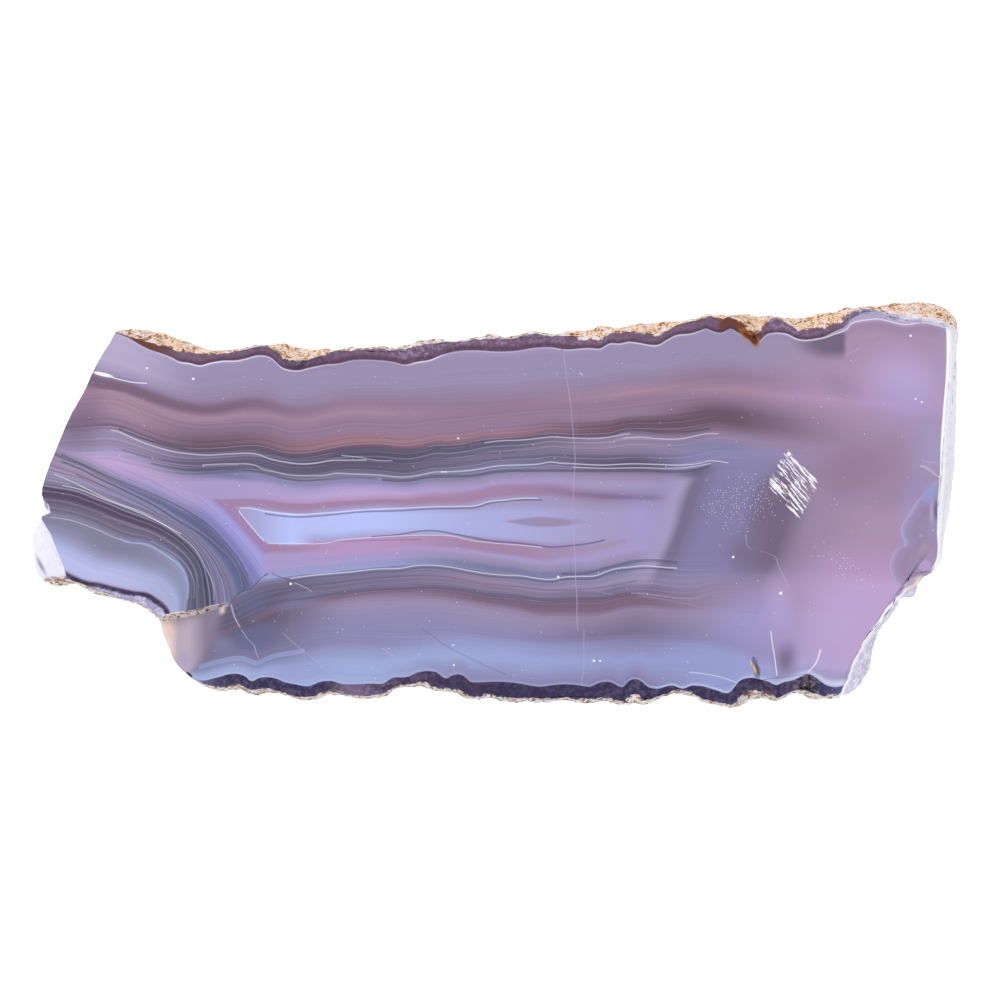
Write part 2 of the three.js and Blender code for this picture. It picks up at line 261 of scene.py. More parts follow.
top_white_line = [
    (-71.2, 8.7), (-64.8, 8.2), (-61.6, 8.4), (-58.4, 7.6), (-56.0, 7.0), (-53.6, 6.3),
    (-51.2, 5.8), (-48.8, 5.6), (-45.6, 5.7), (-42.4, 5.9), (-39.2, 6.0), (-37.9, 5.8),
    (-36.3, 5.4), (-34.4, 4.8), (-32.0, 4.4), (-29.6, 4.3), (-27.2, 4.6), (-24.8, 5.0),
    (-21.3, 4.9), (-17.6, 4.6), (-14.4, 4.2), (-12.8, 4.4), (-10.4, 4.9), (-7.2, 5.0), (-4.0, 5.3),
    (-2.4, 5.5), (0.0, 6.0), (2.4, 6.2), (7.2, 6.3), (8.8, 6.6), (10.4, 6.5), (13.6, 6.2),
    (18.4, 6.0), (23.2, 6.0), (29.6, 5.8), (32.8, 6.3), (35.2, 6.8), (39.2, 6.8), (48.8, 6.3),
    (72.8, 5.5),
]
top_rose_outer = [
    (-69.6, 5.5), (-64.8, 3.9), (-60.0, 2.3), (-55.2, 1.5), (-50.4, 1.0), (-45.3, 0.9),
    (-42.4, 0.9), (-40.0, 1.0), (-37.9, 0.9), (-36.0, 0.7), (-33.6, 0.3), (-31.2, 0.2),
    (-28.8, 0.2), (-26.4, 0.5), (-24.0, 0.6), (-21.6, 0.7), (-19.2, 0.9), (-15.2, 0.9),
    (-12.8, 1.0), (-10.4, 1.3), (-8.0, 1.2), (-5.6, 1.3), (-3.2, 1.6), (-0.8, 2.2), (1.6, 2.5),
    (4.0, 2.6), (7.2, 2.6), (9.6, 2.5), (12.0, 2.0), (14.4, 1.8), (16.8, 1.6), (20.0, 1.4),
    (23.2, 1.3), (26.4, 1.2), (32.8, 1.4), (48.8, 1.0), (72.8, 0.7),
]
top_rose_inner = [
    (-47.2, -0.4), (-41.5, -0.4), (-39.2, -0.3), (-37.3, -0.6), (-35.2, -1.0), (-32.8, -1.3),
    (-30.4, -1.4), (-28.0, -1.1), (-25.6, -0.9), (-23.2, -0.6), (-20.8, -0.5), (-18.4, -0.3),
    (-15.2, -0.4), (-12.8, -0.4), (-10.4, -0.2), (-7.2, -0.2), (-4.8, -0.1), (-3.2, 0.2),
    (-1.6, 0.6), (0.3, 0.9), (2.4, 1.0), (4.8, 1.0), (7.2, 1.1), (9.6, 1.0), (12.0, 0.7),
    (14.4, 0.5), (16.8, 0.2), (20.0, 0.2), (23.2, 0.2), (32.8, -0.1), (72.8, -0.9),
]
heart_line = [
    (-47.2, -3.3), (-37.3, -3.3), (-31.2, -3.3), (-23.2, -2.8), (-15.2, -2.6), (-7.2, -2.6),
    (0.8, -2.6), (10.4, -2.8), (20.0, -2.6), (26.4, -2.5), (72.8, -2.5),
]
low_crust_line = [
    (-49.6, -27.1), (-48.0, -28.1), (-46.4, -28.4), (-45.3, -28.1), (-44.0, -27.8), (-42.7, -27.4),
    (-41.9, -27.3), (-40.8, -27.4), (-39.7, -27.9), (-38.9, -28.6), (-38.3, -28.2), (-37.3, -27.9),
    (-36.0, -27.9), (-34.7, -28.2), (-33.6, -28.7), (-32.0, -29.0), (-30.4, -29.3), (-29.3, -29.2),
    (-28.3, -28.7), (-27.2, -28.5), (-25.9, -28.5), (-24.8, -28.9), (-22.4, -29.0), (-20.0, -28.9),
    (-17.9, -28.9), (-17.1, -28.4), (-16.3, -27.9), (-15.2, -27.9), (-13.9, -27.8), (-13.1, -27.4),
    (-12.0, -27.0), (-10.4, -26.9), (-9.3, -27.1), (-8.5, -27.8), (-8.0, -28.1), (-6.9, -27.6),
    (-5.9, -27.4), (-4.8, -27.8), (-4.0, -28.6), (-2.4, -28.7), (-0.8, -28.6), (0.8, -28.6),
    (2.4, -28.7), (4.0, -28.9), (5.6, -29.2), (7.2, -29.4), (8.8, -29.2), (11.2, -29.0),
    (13.6, -29.2), (15.2, -29.4), (16.3, -28.9), (17.6, -28.6), (18.7, -28.7), (19.5, -29.2),
    (20.3, -29.5), (21.1, -28.7), (22.1, -28.1), (23.2, -28.2), (24.0, -28.9), (25.1, -29.4),
    (26.4, -29.4), (27.7, -29.0), (28.8, -29.0), (29.6, -29.4), (30.4, -29.4), (31.2, -29.0),
    (32.8, -29.0), (34.4, -29.4), (35.7, -29.8), (37.1, -30.2), (37.9, -29.7), (38.7, -28.6),
    (39.7, -27.9), (40.8, -27.7), (41.9, -27.8), (42.9, -28.1), (44.0, -28.4), (44.9, -28.9),
    (46.1, -28.4), (47.7, -28.1), (48.8, -27.6), (49.9, -27.1), (50.9, -27.4), (52.0, -28.2),
    (53.3, -29.0), (54.5, -29.2), (55.7, -29.0), (64.8, -28.1),
]
low_blue_line = [
    (-55.2, -27.4), (-48.8, -26.6), (-46.4, -26.0), (-44.0, -25.2), (-41.6, -24.7), (-39.2, -24.9),
    (-37.9, -25.4), (-36.3, -24.7), (-33.6, -24.1), (-31.2, -23.3), (-28.0, -22.2), (-23.2, -21.8),
    (-15.2, -22.2), (-7.2, -21.8), (0.8, -22.6), (8.8, -23.0), (16.8, -22.5), (24.8, -22.5),
    (32.8, -22.6), (39.2, -24.1), (44.0, -25.7), (48.8, -24.9), (55.2, -25.7), (64.8, -24.9),
]
low_brown_line = [
    (-55.2, -26.2), (-48.8, -23.6), (-43.2, -21.7), (-40.8, -20.4), (-37.3, -18.8), (-35.2, -18.0),
    (-32.8, -17.4), (-29.6, -16.9), (-24.8, -16.7), (-20.0, -16.4), (-15.2, -16.1), (-10.4, -15.8),
    (-5.6, -16.2), (-2.4, -16.7), (0.8, -17.2), (4.0, -17.8), (7.2, -18.5), (10.4, -18.5),
    (13.6, -18.5), (16.8, -18.3), (20.0, -17.5), (23.2, -17.0), (26.4, -17.2), (29.6, -17.4),
    (32.8, -17.2), (39.2, -16.9), (45.6, -17.2), (64.8, -17.7),
]
low_dark_line = [
    (-55.2, -24.9), (-48.8, -21.7), (-44.0, -19.8), (-41.6, -19.0), (-39.2, -17.8), (-37.3, -16.9),
    (-35.2, -16.1), (-32.8, -15.4), (-30.4, -15.0), (-28.0, -14.8), (-25.6, -14.6), (-23.2, -14.1),
    (-20.8, -13.7), (-17.6, -13.4), (-15.2, -13.3), (-12.0, -13.1), (-8.8, -13.2), (-6.4, -13.4),
    (-4.0, -13.8), (-0.8, -14.3), (1.6, -14.5), (4.0, -14.8), (6.4, -15.3), (8.8, -15.3),
    (12.0, -15.1), (15.2, -15.1), (17.3, -15.0), (18.7, -14.6), (20.8, -14.2), (22.4, -14.1),
    (24.8, -14.2), (26.4, -14.4), (28.8, -14.6), (31.2, -14.6), (32.8, -14.4), (34.4, -13.8),
    (36.0, -13.6), (39.2, -13.5), (64.8, -13.7),
]
low_white_line = [
    (-55.2, -22.5), (-47.2, -18.2), (-42.3, -15.0), (-40.0, -13.7), (-37.3, -12.4), (-35.2, -12.1),
    (-32.8, -11.8), (-30.4, -11.4), (-28.0, -11.3), (-25.6, -11.0), (-23.2, -10.7), (-20.8, -10.4),
    (-17.6, -10.1), (-15.2, -9.9), (-13.6, -9.8), (-11.2, -9.6), (-8.8, -9.7), (-6.4, -9.9),
    (-4.0, -10.3), (-1.6, -10.7), (0.8, -11.0), (3.2, -11.2), (5.6, -11.6), (7.2, -11.8),
    (8.8, -11.8), (10.4, -11.7), (12.8, -11.4), (15.5, -11.4), (17.3, -11.1), (18.7, -10.7),
    (20.8, -10.2), (23.2, -9.8), (26.4, -9.8), (28.8, -10.2), (32.8, -10.2), (64.8, -10.5),
]
low_rose_outer = [
    (-55.2, -15.3), (-47.2, -11.3), (-40.8, -8.6), (-37.1, -7.8), (-34.4, -7.6), (-32.0, -7.6),
    (-29.6, -7.4), (-27.2, -7.3), (-24.8, -7.0), (-22.4, -6.7), (-20.0, -6.6), (-17.6, -6.5),
    (-15.2, -6.3), (-12.8, -6.3), (-10.4, -6.3), (-7.2, -6.5), (-4.8, -6.7), (-2.4, -7.0),
    (0.0, -7.4), (2.4, -7.7), (4.8, -8.1), (7.2, -8.4), (8.8, -8.5), (10.4, -8.2), (12.8, -8.0),
    (14.4, -7.9), (16.8, -7.3), (19.2, -6.6), (21.6, -6.0), (24.8, -5.7), (64.8, -5.7),
]
low_rose_inner = [
    (-47.2, -6.6), (-36.7, -6.3), (-33.6, -6.5), (-31.2, -6.5), (-28.8, -6.3), (-26.4, -6.2),
    (-24.0, -5.9), (-21.6, -5.5), (-19.2, -5.3), (-15.2, -5.2), (-10.4, -5.1), (-8.0, -5.3),
    (-5.6, -5.6), (-3.2, -5.8), (-0.8, -6.1), (0.8, -6.2), (3.2, -6.4), (5.6, -6.7), (8.0, -7.0),
    (10.4, -7.0), (12.8, -6.8), (15.2, -6.5), (17.6, -5.8), (20.0, -5.4), (23.2, -4.9),
    (64.8, -4.9),
]
lobe_crust_line = [
    (-71.2, -9.2), (-68.8, -10.5), (-67.2, -11.3), (-65.1, -12.1), (-63.2, -12.4), (-61.3, -12.9),
    (-60.0, -13.2), (-57.6, -13.7), (-55.5, -14.0), (-54.1, -14.8), (-52.8, -15.8), (-52.0, -16.9),
    (-51.7, -18.2), (-51.7, -21.7),
]
lobe_blue_line = [
    (-73.1, -1.8), (-71.2, -2.0), (-68.0, -2.5), (-65.6, -3.1), (-63.2, -4.1), (-60.8, -5.2),
    (-58.7, -5.8), (-56.8, -6.0), (-55.2, -6.6), (-53.6, -7.4), (-52.0, -8.2), (-50.7, -9.4),
    (-49.8, -10.8), (-49.3, -12.4), (-49.3, -14.5), (-49.6, -16.4), (-49.9, -19.3),
]
lobe_white_line = [
    (-73.1, 3.6), (-69.6, 3.1), (-66.4, 2.5), (-64.0, 1.5), (-61.6, 0.6), (-59.2, -0.4),
    (-56.8, -1.2), (-54.4, -2.2), (-52.3, -3.3), (-50.4, -4.6), (-48.0, -6.8), (-46.4, -8.9),
    (-45.3, -11.6), (-44.8, -14.5), (-44.8, -17.7),
]
lobe_dark_line = [
    (-72.0, 8.2), (-70.4, 7.6), (-68.0, 6.6), (-65.6, 5.7), (-64.0, 4.7), (-62.4, 3.9),
    (-60.0, 2.8), (-57.6, 1.7), (-55.2, 0.4), (-52.8, -1.0), (-51.2, -2.2), (-49.6, -3.3),
    (-47.7, -5.0), (-46.1, -6.6), (-44.5, -8.4), (-43.1, -10.5), (-42.1, -12.6), (-41.5, -15.3),
    (-41.3, -18.5),
]
lobe_violet_line = [
    (-72.0, 8.9), (-68.0, 7.1), (-65.6, 6.2), (-63.2, 4.9), (-60.0, 3.4), (-57.6, 2.5),
    (-55.2, 1.6), (-52.8, 0.6), (-50.4, -0.6), (-48.8, -1.2), (-47.2, -2.0), (-45.6, -3.3),
    (-43.7, -5.2), (-42.1, -7.1), (-40.5, -9.4), (-39.2, -11.4), (-37.9, -14.0),
]
lobe_rose_outer = [
    (-71.2, 13.5), (-63.2, 11.9), (-56.8, 9.4), (-50.4, 5.5), (-44.8, 0.7), (-40.8, -3.6),
    (-37.1, -7.8), (-33.6, -12.4),
]
lobe_rose_inner = [
    (-41.5, -0.4), (-38.9, -3.3), (-36.5, -6.3),
]
top_lobe_seam = [
    (-72.8, 9.4), (-68.8, 8.4), (-64.8, 7.4), (-58.4, 5.4), (-52.0, 3.0), (-45.1, 0.7),
    (-41.6, -0.4), (-31.2, -2.8),
]
low_lobe_seam = [
    (-55.2, -29.7), (-48.8, -22.5), (-44.0, -17.2), (-42.3, -15.6), (-40.3, -13.8), (-38.3, -12.7),
    (-37.3, -11.6), (-37.0, -8.2), (-36.5, -6.2), (-31.2, -2.8),
]

# The stone itself: one material for the whole slab, because the bands run right through it.
agate = bpy.data.materials.new("banded_agate")
agate.use_nodes = True
tree = agate.node_tree
tree.nodes.clear()


def add(kind, **settings):
    """A new node of the stone's material, with its settings."""
    made = tree.nodes.new(kind)
    for setting, value in settings.items():
        setattr(made, setting, value)
    return made


def feed(socket, value):
    """Joins a socket to another node's output, or gives it a plain number or colour."""
    if isinstance(value, bpy.types.NodeSocket):
        tree.links.new(value, socket)
    else:
        socket.default_value = value


def calc(operation, *values):
    """One sum of numbers, such as ADD or MULTIPLY."""
    made = add("ShaderNodeMath", operation=operation)
    for socket, value in zip(made.inputs, values):
        feed(socket, value)
    return made.outputs[0]


def limit(value):
    """The value, kept between 0 and 1."""
    made = add("ShaderNodeClamp")
    feed(made.inputs[0], value)
    return made.outputs[0]


def ease(value, low, high, start=0.0, end=1.0):
    """Goes smoothly from start to end while the value goes from low to high."""
    made = add("ShaderNodeMapRange", interpolation_type="SMOOTHSTEP", clamp=False)
    for socket, number in zip(made.inputs, (value, low, high, start, end)):
        feed(socket, number)
    return made.outputs[0]


def grade(value, low, high):
    """Goes evenly from 0 to 1 while the value goes from low to high, and on beyond both."""
    made = add("ShaderNodeMapRange", interpolation_type="LINEAR", clamp=False)
    for socket, number in zip(made.inputs, (value, low, high)):
        feed(socket, number)
    return made.outputs[0]


class Axis:
    """A direction across the slab: how far along it a point lies, in millimetres, and the stretch
    that lines are drawn over."""

    def __init__(self, place, low, high):
        self.low = low
        self.high = high
        self.share = calc("MULTIPLY_ADD", place, 1 / (high - low), -low / (high - low))

    def part(self, number):
        """Where a number of millimetres lies in the stretch, from 0 to 1."""
        return (number - self.low) / (self.high - self.low)


def plot_share(axis, points, handle="AUTO", ends=0):
    """A drawn line over an axis: points of (millimetres along, height from 0 to 1). Its first and
    last few points may be sharp."""
    made = add("ShaderNodeFloatCurve")
    made.mapping.use_clip = False
    line = made.mapping.curves[0]
    places = [(axis.part(x), y) for x, y in sorted(points)]
    while len(line.points) < len(places):
        line.points.new(1, 1)
    for index, (point, spot) in enumerate(zip(line.points, places)):
        point.location = spot
        point.handle_type = "VECTOR" if min(index, len(places) - 1 - index) < ends else handle
    made.mapping.update()
    feed(made.inputs["Value"], axis.share)
    return made.outputs[0]


def plot(axis, points, height, handle="AUTO"):
    """The height of a drawn line in millimetres on its other axis."""
    line = plot_share(axis, [(x, height.part(y)) for x, y in points], handle)
    return calc("MULTIPLY_ADD", line, height.high - height.low, height.low)


# Places in the stone, in millimetres: across it, down through it, and up it along the bands, which
# slant a little as they go down.
SLANT = 0.22

place = add("ShaderNodeTexCoord").outputs["Object"]
apart = add("ShaderNodeSeparateXYZ")
feed(apart.inputs[0], place)
depth = calc("SUBTRACT", THICK / MM, calc("MULTIPLY", apart.outputs["Z"], 1 / MM))
across = calc("MULTIPLY", apart.outputs["X"], 1 / MM)
up = calc("MULTIPLY_ADD", depth, SLANT, calc("MULTIPLY", apart.outputs["Y"], 1 / MM))
width_axis = Axis(across, -75.0, 75.0)
height_axis = Axis(up, -34.0, 34.0)

# The lobe's lines bend too far for a plain height, so they are drawn on axes turned along them.
LOBE_ALONG = (0.819, -0.574)
LOBE_OUT = (0.574, 0.819)


def heading(way):
    """How far a point lies along a way across the slab."""
    return calc("ADD", calc("MULTIPLY", across, way[0]), calc("MULTIPLY", up, way[1]))


along = heading(LOBE_ALONG)
out = heading(LOBE_OUT)
along_axis = Axis(along, -70.0, -10.0)
out_axis = Axis(out, -56.0, -8.0)


def turned(points):
    """A drawn line's points on the lobe's axes."""
    return [
        (x * LOBE_ALONG[0] + y * LOBE_ALONG[1], x * LOBE_OUT[0] + y * LOBE_OUT[1])
        for x, y in points
    ]


class Front:
    """One growth front: its drawn lines from the crust inwards, and how many of its bands lie
    between a point and its crust. Its way is 1 where inwards is up the height axis, or else -1."""

    def __init__(self, axis, height, lines, way):
        self.height = height
        self.way = way * (height.high - height.low)
        self.lines = [
            plot_share(axis, [(x, height.part(y)) for x, y in points]) for points in lines
        ]
        self.bands = 0.0
        for outer, inner in zip(self.lines, self.lines[1:]):
            part = limit(grade(height.share, outer, inner))
            self.bands = part if self.bands == 0.0 else calc("ADD", self.bands, part)
        self.reach = len(lines) - 1
        self.whole = calc("DIVIDE", self.bands, self.reach)

    def inward(self, band):
        """How far a point lies inside one of the lines, in millimetres."""
        return calc("MULTIPLY", calc("SUBTRACT", self.height.share, self.lines[band]), self.way)


top = Front(width_axis, height_axis, [
    top_crust_line, top_smoke_line, top_pink_line, top_dark_line,
    top_white_line, top_rose_outer, top_rose_inner, heart_line,
], -1.0)
low = Front(width_axis, height_axis, [
    low_crust_line, low_blue_line, low_brown_line, low_dark_line,
    low_white_line, low_rose_outer, low_rose_inner, heart_line,
], 1.0)
lobe = Front(along_axis, out_axis, [
    turned(points) for points in (
        lobe_crust_line, lobe_blue_line, lobe_white_line, lobe_dark_line,
        lobe_violet_line, lobe_rose_outer, lobe_rose_inner,
    )
], 1.0)

# The colours of the layers, as they look in daylight, each in red, green and blue out of 255. The
# polish throws back a little white light of its own, which is taken off them.
POLISH_GLARE = 0.034
LAMP_GAIN = 1.04
TONES = {
    "haze": (155, 144, 177), "bloom": (182, 171, 203), "heather": (151, 133, 163),
    "mauve": (150, 125, 151), "dusty_pink": (166, 136, 158), "smoke": (127, 105, 127),
    "copper": (157, 120, 135), "umber": (110, 90, 107), "slate": (104, 97, 121),
    "steel": (123, 115, 144), "dusk": (128, 128, 163), "lilac": (170, 155, 202),
    "pale_lilac": (188, 168, 212), "orchid": (184, 151, 194), "petal": (190, 164, 206),
    "rose": (164, 134, 168), "milk": (186, 196, 249), "frost": (172, 174, 222),
    "veil": (166, 155, 194), "blue_grey": (143, 138, 180), "horizon": (152, 159, 206),
    "sky": (160, 172, 216), "ink": (98, 98, 118), "night": (86, 82, 104), "violet": (104, 106, 146),
    "navy": (64, 57, 87), "plum": (118, 93, 117), "cream": (240, 225, 205), "gold": (222, 160, 88),
    "rust": (124, 74, 48), "white": (238, 236, 250), "pink": (172, 146, 177),
    "brown": (119, 101, 126), "tan": (176, 156, 150), "glass": (250, 250, 254),
    "soot": (58, 50, 56), "slate_blue": (135, 128, 168), "murk": (121, 105, 131),
    "amethyst": (160, 137, 167), "shade": (96, 92, 113), "gloom": (86, 80, 101),
    "coal": (72, 62, 90), "damson": (90, 66, 88), "blush": (232, 210, 206),
    "quartz": (236, 233, 246), "mist": (206, 200, 226), "pale_blue": (184, 190, 232),
    "blue_mist": (168, 174, 212), "fog": (147, 147, 178), "ash": (134, 131, 158),
    "grey_plum": (116, 108, 130), "dark_plum": (94, 83, 105), "storm": (104, 110, 146),
    "iris": (130, 130, 184), "bluebell": (150, 149, 206), "wisteria": (164, 158, 217),
    "mallow": (161, 135, 181), "flint": (96, 96, 132), "grape": (132, 113, 150),
    "amber": (172, 122, 66), "umber_brown": (102, 58, 30), "lake": (147, 154, 188),
    "bark": (112, 72, 66), "clay": (186, 171, 186), "loam": (140, 130, 152),
}


def tone(name):
    """A named colour as the shader takes it: the light that a screen shows it with."""
    plain = [channel / 255 for channel in TONES[name]]
    light = [c / 12.92 if c <= 0.04045 else ((c + 0.055) / 1.055) ** 2.4 for c in plain]
    return (*[max(0.0, c - POLISH_GLARE) / LAMP_GAIN for c in light], 1.0)


def mix(share, first, second):
    """Two colours mixed."""
    made = add("ShaderNodeMix", data_type="RGBA")
    feed(made.inputs[0], share)
    feed(made.inputs[6], first)
    feed(made.inputs[7], second)
    return made.outputs[2]


def by_number(value, places):
    """A colour that changes softly with a number from 0 to 1: (number, tone name)."""
    made = add("ShaderNodeValToRGB")
    ramp = made.color_ramp
    while len(ramp.elements) < len(places):
        ramp.elements.new(1.0)
    for element, (position, name) in zip(ramp.elements, places):
        element.position = position
        element.color = tone(name)
    feed(made.inputs[0], value)
    return made.outputs[0]


def layers(front, bands):
    """The soft colours of the layers at one place along a front: (bands in, tone name)."""
    return by_number(front.whole, [(band / front.reach, name) for band, name in bands])


def along_front(front, places):
    """Mixes the layers seen at several places across the slab, from left to right."""
    colour = None
    before = 0.0
    for x, bands in places:
        here = layers(front, bands)
        colour = here if colour is None else mix(ease(across, before, x), colour, here)
        before = x
    return colour


top_colour = along_front(top, [
    (-60.0, [
        (0, "bloom"), (0.55, "bloom"), (0.78, "haze"), (0.9, "smoke"), (1.3, "smoke"),
        (1.9, "dusty_pink"), (2.55, "dusty_pink"), (2.72, "mauve"), (2.9, "smoke"),
        (3.0, "heather"), (3.35, "haze"), (3.6, "heather"), (3.95, "veil"), (4.25, "petal"),
        (4.6, "petal"), (5.0, "pale_lilac"),
    ]),
    (-46.0, [
        (0, "veil"), (0.12, "haze"), (0.5, "haze"), (0.8, "heather"), (0.94, "smoke"),
        (1.15, "smoke"), (1.8, "dusty_pink"), (2.1, "mauve"), (2.5, "smoke"), (2.75, "umber"),
        (2.93, "umber"), (3.1, "slate"), (3.3, "steel"), (3.6, "slate"), (3.9, "slate"),
        (4.05, "ink"), (4.2, "dusk"), (4.4, "lilac"), (5.0, "lilac"), (5.05, "rose"), (5.9, "rose"),
        (6.1, "lilac"), (7.0, "milk"),
    ]),
    (-22.0, [
        (0, "heather"), (0.15, "haze"), (0.5, "haze"), (0.85, "heather"), (1.0, "mauve"),
        (1.6, "dusty_pink"), (2.0, "mauve"), (2.4, "mauve"), (2.6, "copper"), (2.78, "copper"),
        (2.92, "umber"), (3.08, "shade"), (3.35, "night"), (3.55, "shade"), (3.8, "slate"),
        (4.1, "ash"), (4.3, "blue_grey"), (4.5, "lilac"), (4.75, "pale_lilac"), (4.95, "orchid"),
        (5.1, "rose"), (5.5, "rose"), (6.0, "lilac"), (6.35, "milk"), (7.0, "milk"),
    ]),
    (0.0, [
        (0, "veil"), (0.15, "haze"), (0.55, "haze"), (0.8, "heather"), (1.0, "mauve"),
        (1.6, "mauve"), (2.25, "mauve"), (2.6, "mauve"), (2.78, "copper"), (3.0, "smoke"),
        (3.2, "ink"), (3.45, "steel"), (3.75, "steel"), (4.0, "dusk"), (4.2, "ash"), (4.45, "haze"),
        (4.7, "lilac"), (4.92, "rose"), (5.6, "rose"), (6.0, "veil"), (6.25, "veil"),
        (6.6, "frost"), (7.0, "frost"),
    ]),
    (22.0, [
        (0, "haze"), (0.5, "haze"), (0.75, "heather"), (1.0, "dusty_pink"), (1.6, "mauve"),
        (2.15, "mauve"), (2.4, "mauve"), (2.62, "umber"), (2.95, "umber"), (3.15, "heather"),
        (3.4, "heather"), (3.65, "steel"), (3.85, "shade"), (4.05, "slate"), (4.25, "heather"),
        (4.6, "veil"), (4.85, "haze"), (5.03, "grape"), (5.3, "grape"), (5.6, "heather"),
        (6.0, "haze"), (6.5, "veil"), (7.0, "veil"),
    ]),
    (36.0, [
        (0, "haze"), (0.5, "haze"), (0.85, "mauve"), (1.5, "dusty_pink"), (2.0, "mauve"),
        (2.3, "smoke"), (2.5, "umber"), (2.85, "umber"), (3.02, "smoke"), (3.3, "heather"),
        (3.65, "blue_grey"), (3.9, "blue_grey"), (4.2, "slate_blue"), (5.0, "slate_blue"),
        (7.0, "slate_blue"),
    ]),
    (60.0, [
        (0, "pale_lilac"), (0.06, "amethyst"), (0.2, "pink"), (0.5, "pink"), (1.4, "orchid"),
        (2.0, "pink"), (2.8, "amethyst"), (3.5, "amethyst"), (4.5, "amethyst"), (5.5, "amethyst"),
        (7.0, "pink"),
    ]),
])
low_colour = along_front(low, [
    (-36.0, [
        (0, "sky"), (0.4, "sky"), (1.0, "dusk"), (1.5, "steel"), (2.1, "slate"), (2.6, "brown"),
        (3.0, "slate"), (3.5, "slate"), (3.95, "steel"), (4.1, "horizon"), (4.5, "lilac"),
        (4.9, "lilac"), (5.1, "rose"), (5.85, "rose"), (6.1, "lilac"), (7.0, "milk"),
    ]),
    (-22.0, [
        (0, "sky"), (0.5, "sky"), (1.0, "blue_grey"), (1.6, "blue_grey"), (2.1, "haze"),
        (2.5, "heather"), (2.85, "smoke"), (3.1, "steel"), (3.6, "steel"), (3.95, "dusk"),
        (4.1, "horizon"), (4.55, "lilac"), (4.9, "orchid"), (5.5, "orchid"), (6.0, "orchid"),
        (6.25, "frost"), (6.6, "milk"), (7.0, "milk"),
    ]),
    (0.0, [
        (0, "blue_grey"), (0.3, "blue_grey"), (0.6, "sky"), (1.0, "horizon"), (1.3, "blue_grey"),
        (1.9, "haze"), (2.2, "heather"), (2.5, "smoke"), (2.8, "brown"), (3.0, "steel"),
        (3.55, "heather"), (3.95, "dusk"), (4.25, "dusk"), (4.5, "haze"), (4.8, "lilac"),
        (4.97, "rose"), (5.5, "rose"), (6.05, "rose"), (6.3, "frost"), (7.0, "frost"),
    ]),
    (22.0, [
        (0, "dusk"), (0.2, "blue_grey"), (0.6, "horizon"), (1.0, "blue_grey"), (1.4, "steel"),
        (2.1, "heather"), (2.4, "smoke"), (2.9, "smoke"), (3.2, "steel"), (3.55, "haze"),
        (3.9, "dusk"), (4.15, "dusk"), (4.4, "haze"), (4.7, "lilac"), (5.0, "veil"), (7.0, "veil"),
    ]),
    (36.0, [
        (0, "sky"), (0.15, "horizon"), (0.9, "horizon"), (1.2, "blue_grey"), (1.9, "haze"),
        (2.3, "heather"), (2.9, "heather"), (3.2, "heather"), (3.6, "haze"), (4.1, "blue_grey"),
        (4.6, "slate_blue"), (7.0, "slate_blue"),
    ]),
    (60.0, [
        (0, "white"), (0.4, "veil"), (0.9, "pale_lilac"), (1.3, "petal"), (2.2, "petal"),
        (3.2, "petal"), (4.0, "orchid"), (5.0, "pink"), (6.2, "pink"), (7.0, "pink"),
    ]),
])
lobe_left = layers(lobe, [
    (0, "pale_blue"), (0.25, "pale_blue"), (0.45, "blue_mist"), (0.65, "fog"), (0.9, "ash"),
    (1.1, "ash"), (1.25, "grey_plum"), (1.42, "grey_plum"), (1.6, "dark_plum"), (1.87, "dark_plum"),
    (2.02, "ash"), (2.4, "haze"), (2.6, "heather"), (2.9, "haze"), (3.3, "heather"),
    (3.6, "grey_plum"), (3.95, "grey_plum"), (4.1, "haze"), (4.25, "petal"), (4.45, "petal"),
    (4.7, "mauve"), (6.0, "mauve"),
])
lobe_middle = layers(lobe, [
    (0, "pale_blue"), (0.25, "pale_blue"), (0.42, "blue_mist"), (0.58, "fog"), (0.72, "ash"),
    (1.05, "ash"), (1.2, "grey_plum"), (1.45, "grey_plum"), (1.62, "dark_plum"),
    (1.88, "dark_plum"), (2.02, "ash"), (2.3, "steel"), (2.45, "fog"), (2.7, "dusk"), (3.2, "dusk"),
    (3.4, "storm"), (3.7, "storm"), (3.95, "ash"), (4.1, "blue_grey"), (4.25, "lilac"),
    (4.7, "petal"), (4.95, "mauve"), (6.0, "mauve"),
])
lobe_right = layers(lobe, [
    (0, "blue_mist"), (0.4, "blue_mist"), (0.6, "lake"), (0.75, "fog"), (1.0, "lake"),
    (1.1, "steel"), (1.2, "ink"), (1.65, "ink"), (1.75, "night"), (1.9, "night"), (2.02, "dusk"),
    (2.2, "steel"), (2.55, "dusk"), (2.8, "steel"), (3.02, "dusk"), (3.25, "storm"),
    (3.42, "storm"), (3.58, "flint"), (3.8, "storm"), (4.0, "iris"), (4.2, "iris"),
    (4.45, "bluebell"), (4.65, "wisteria"), (4.9, "wisteria"), (5.06, "mallow"), (5.9, "mallow"),
    (6.05, "lilac"),
])
lobe_colour = mix(ease(along, -57.0, -46.0), lobe_left, lobe_middle)
lobe_colour = mix(ease(along, -45.0, -33.0), lobe_colour, lobe_right)

# Where the fronts meet: the lobe ends along two seams, and the others meet at the heart's line.
SEAM_SOFT = 0.12

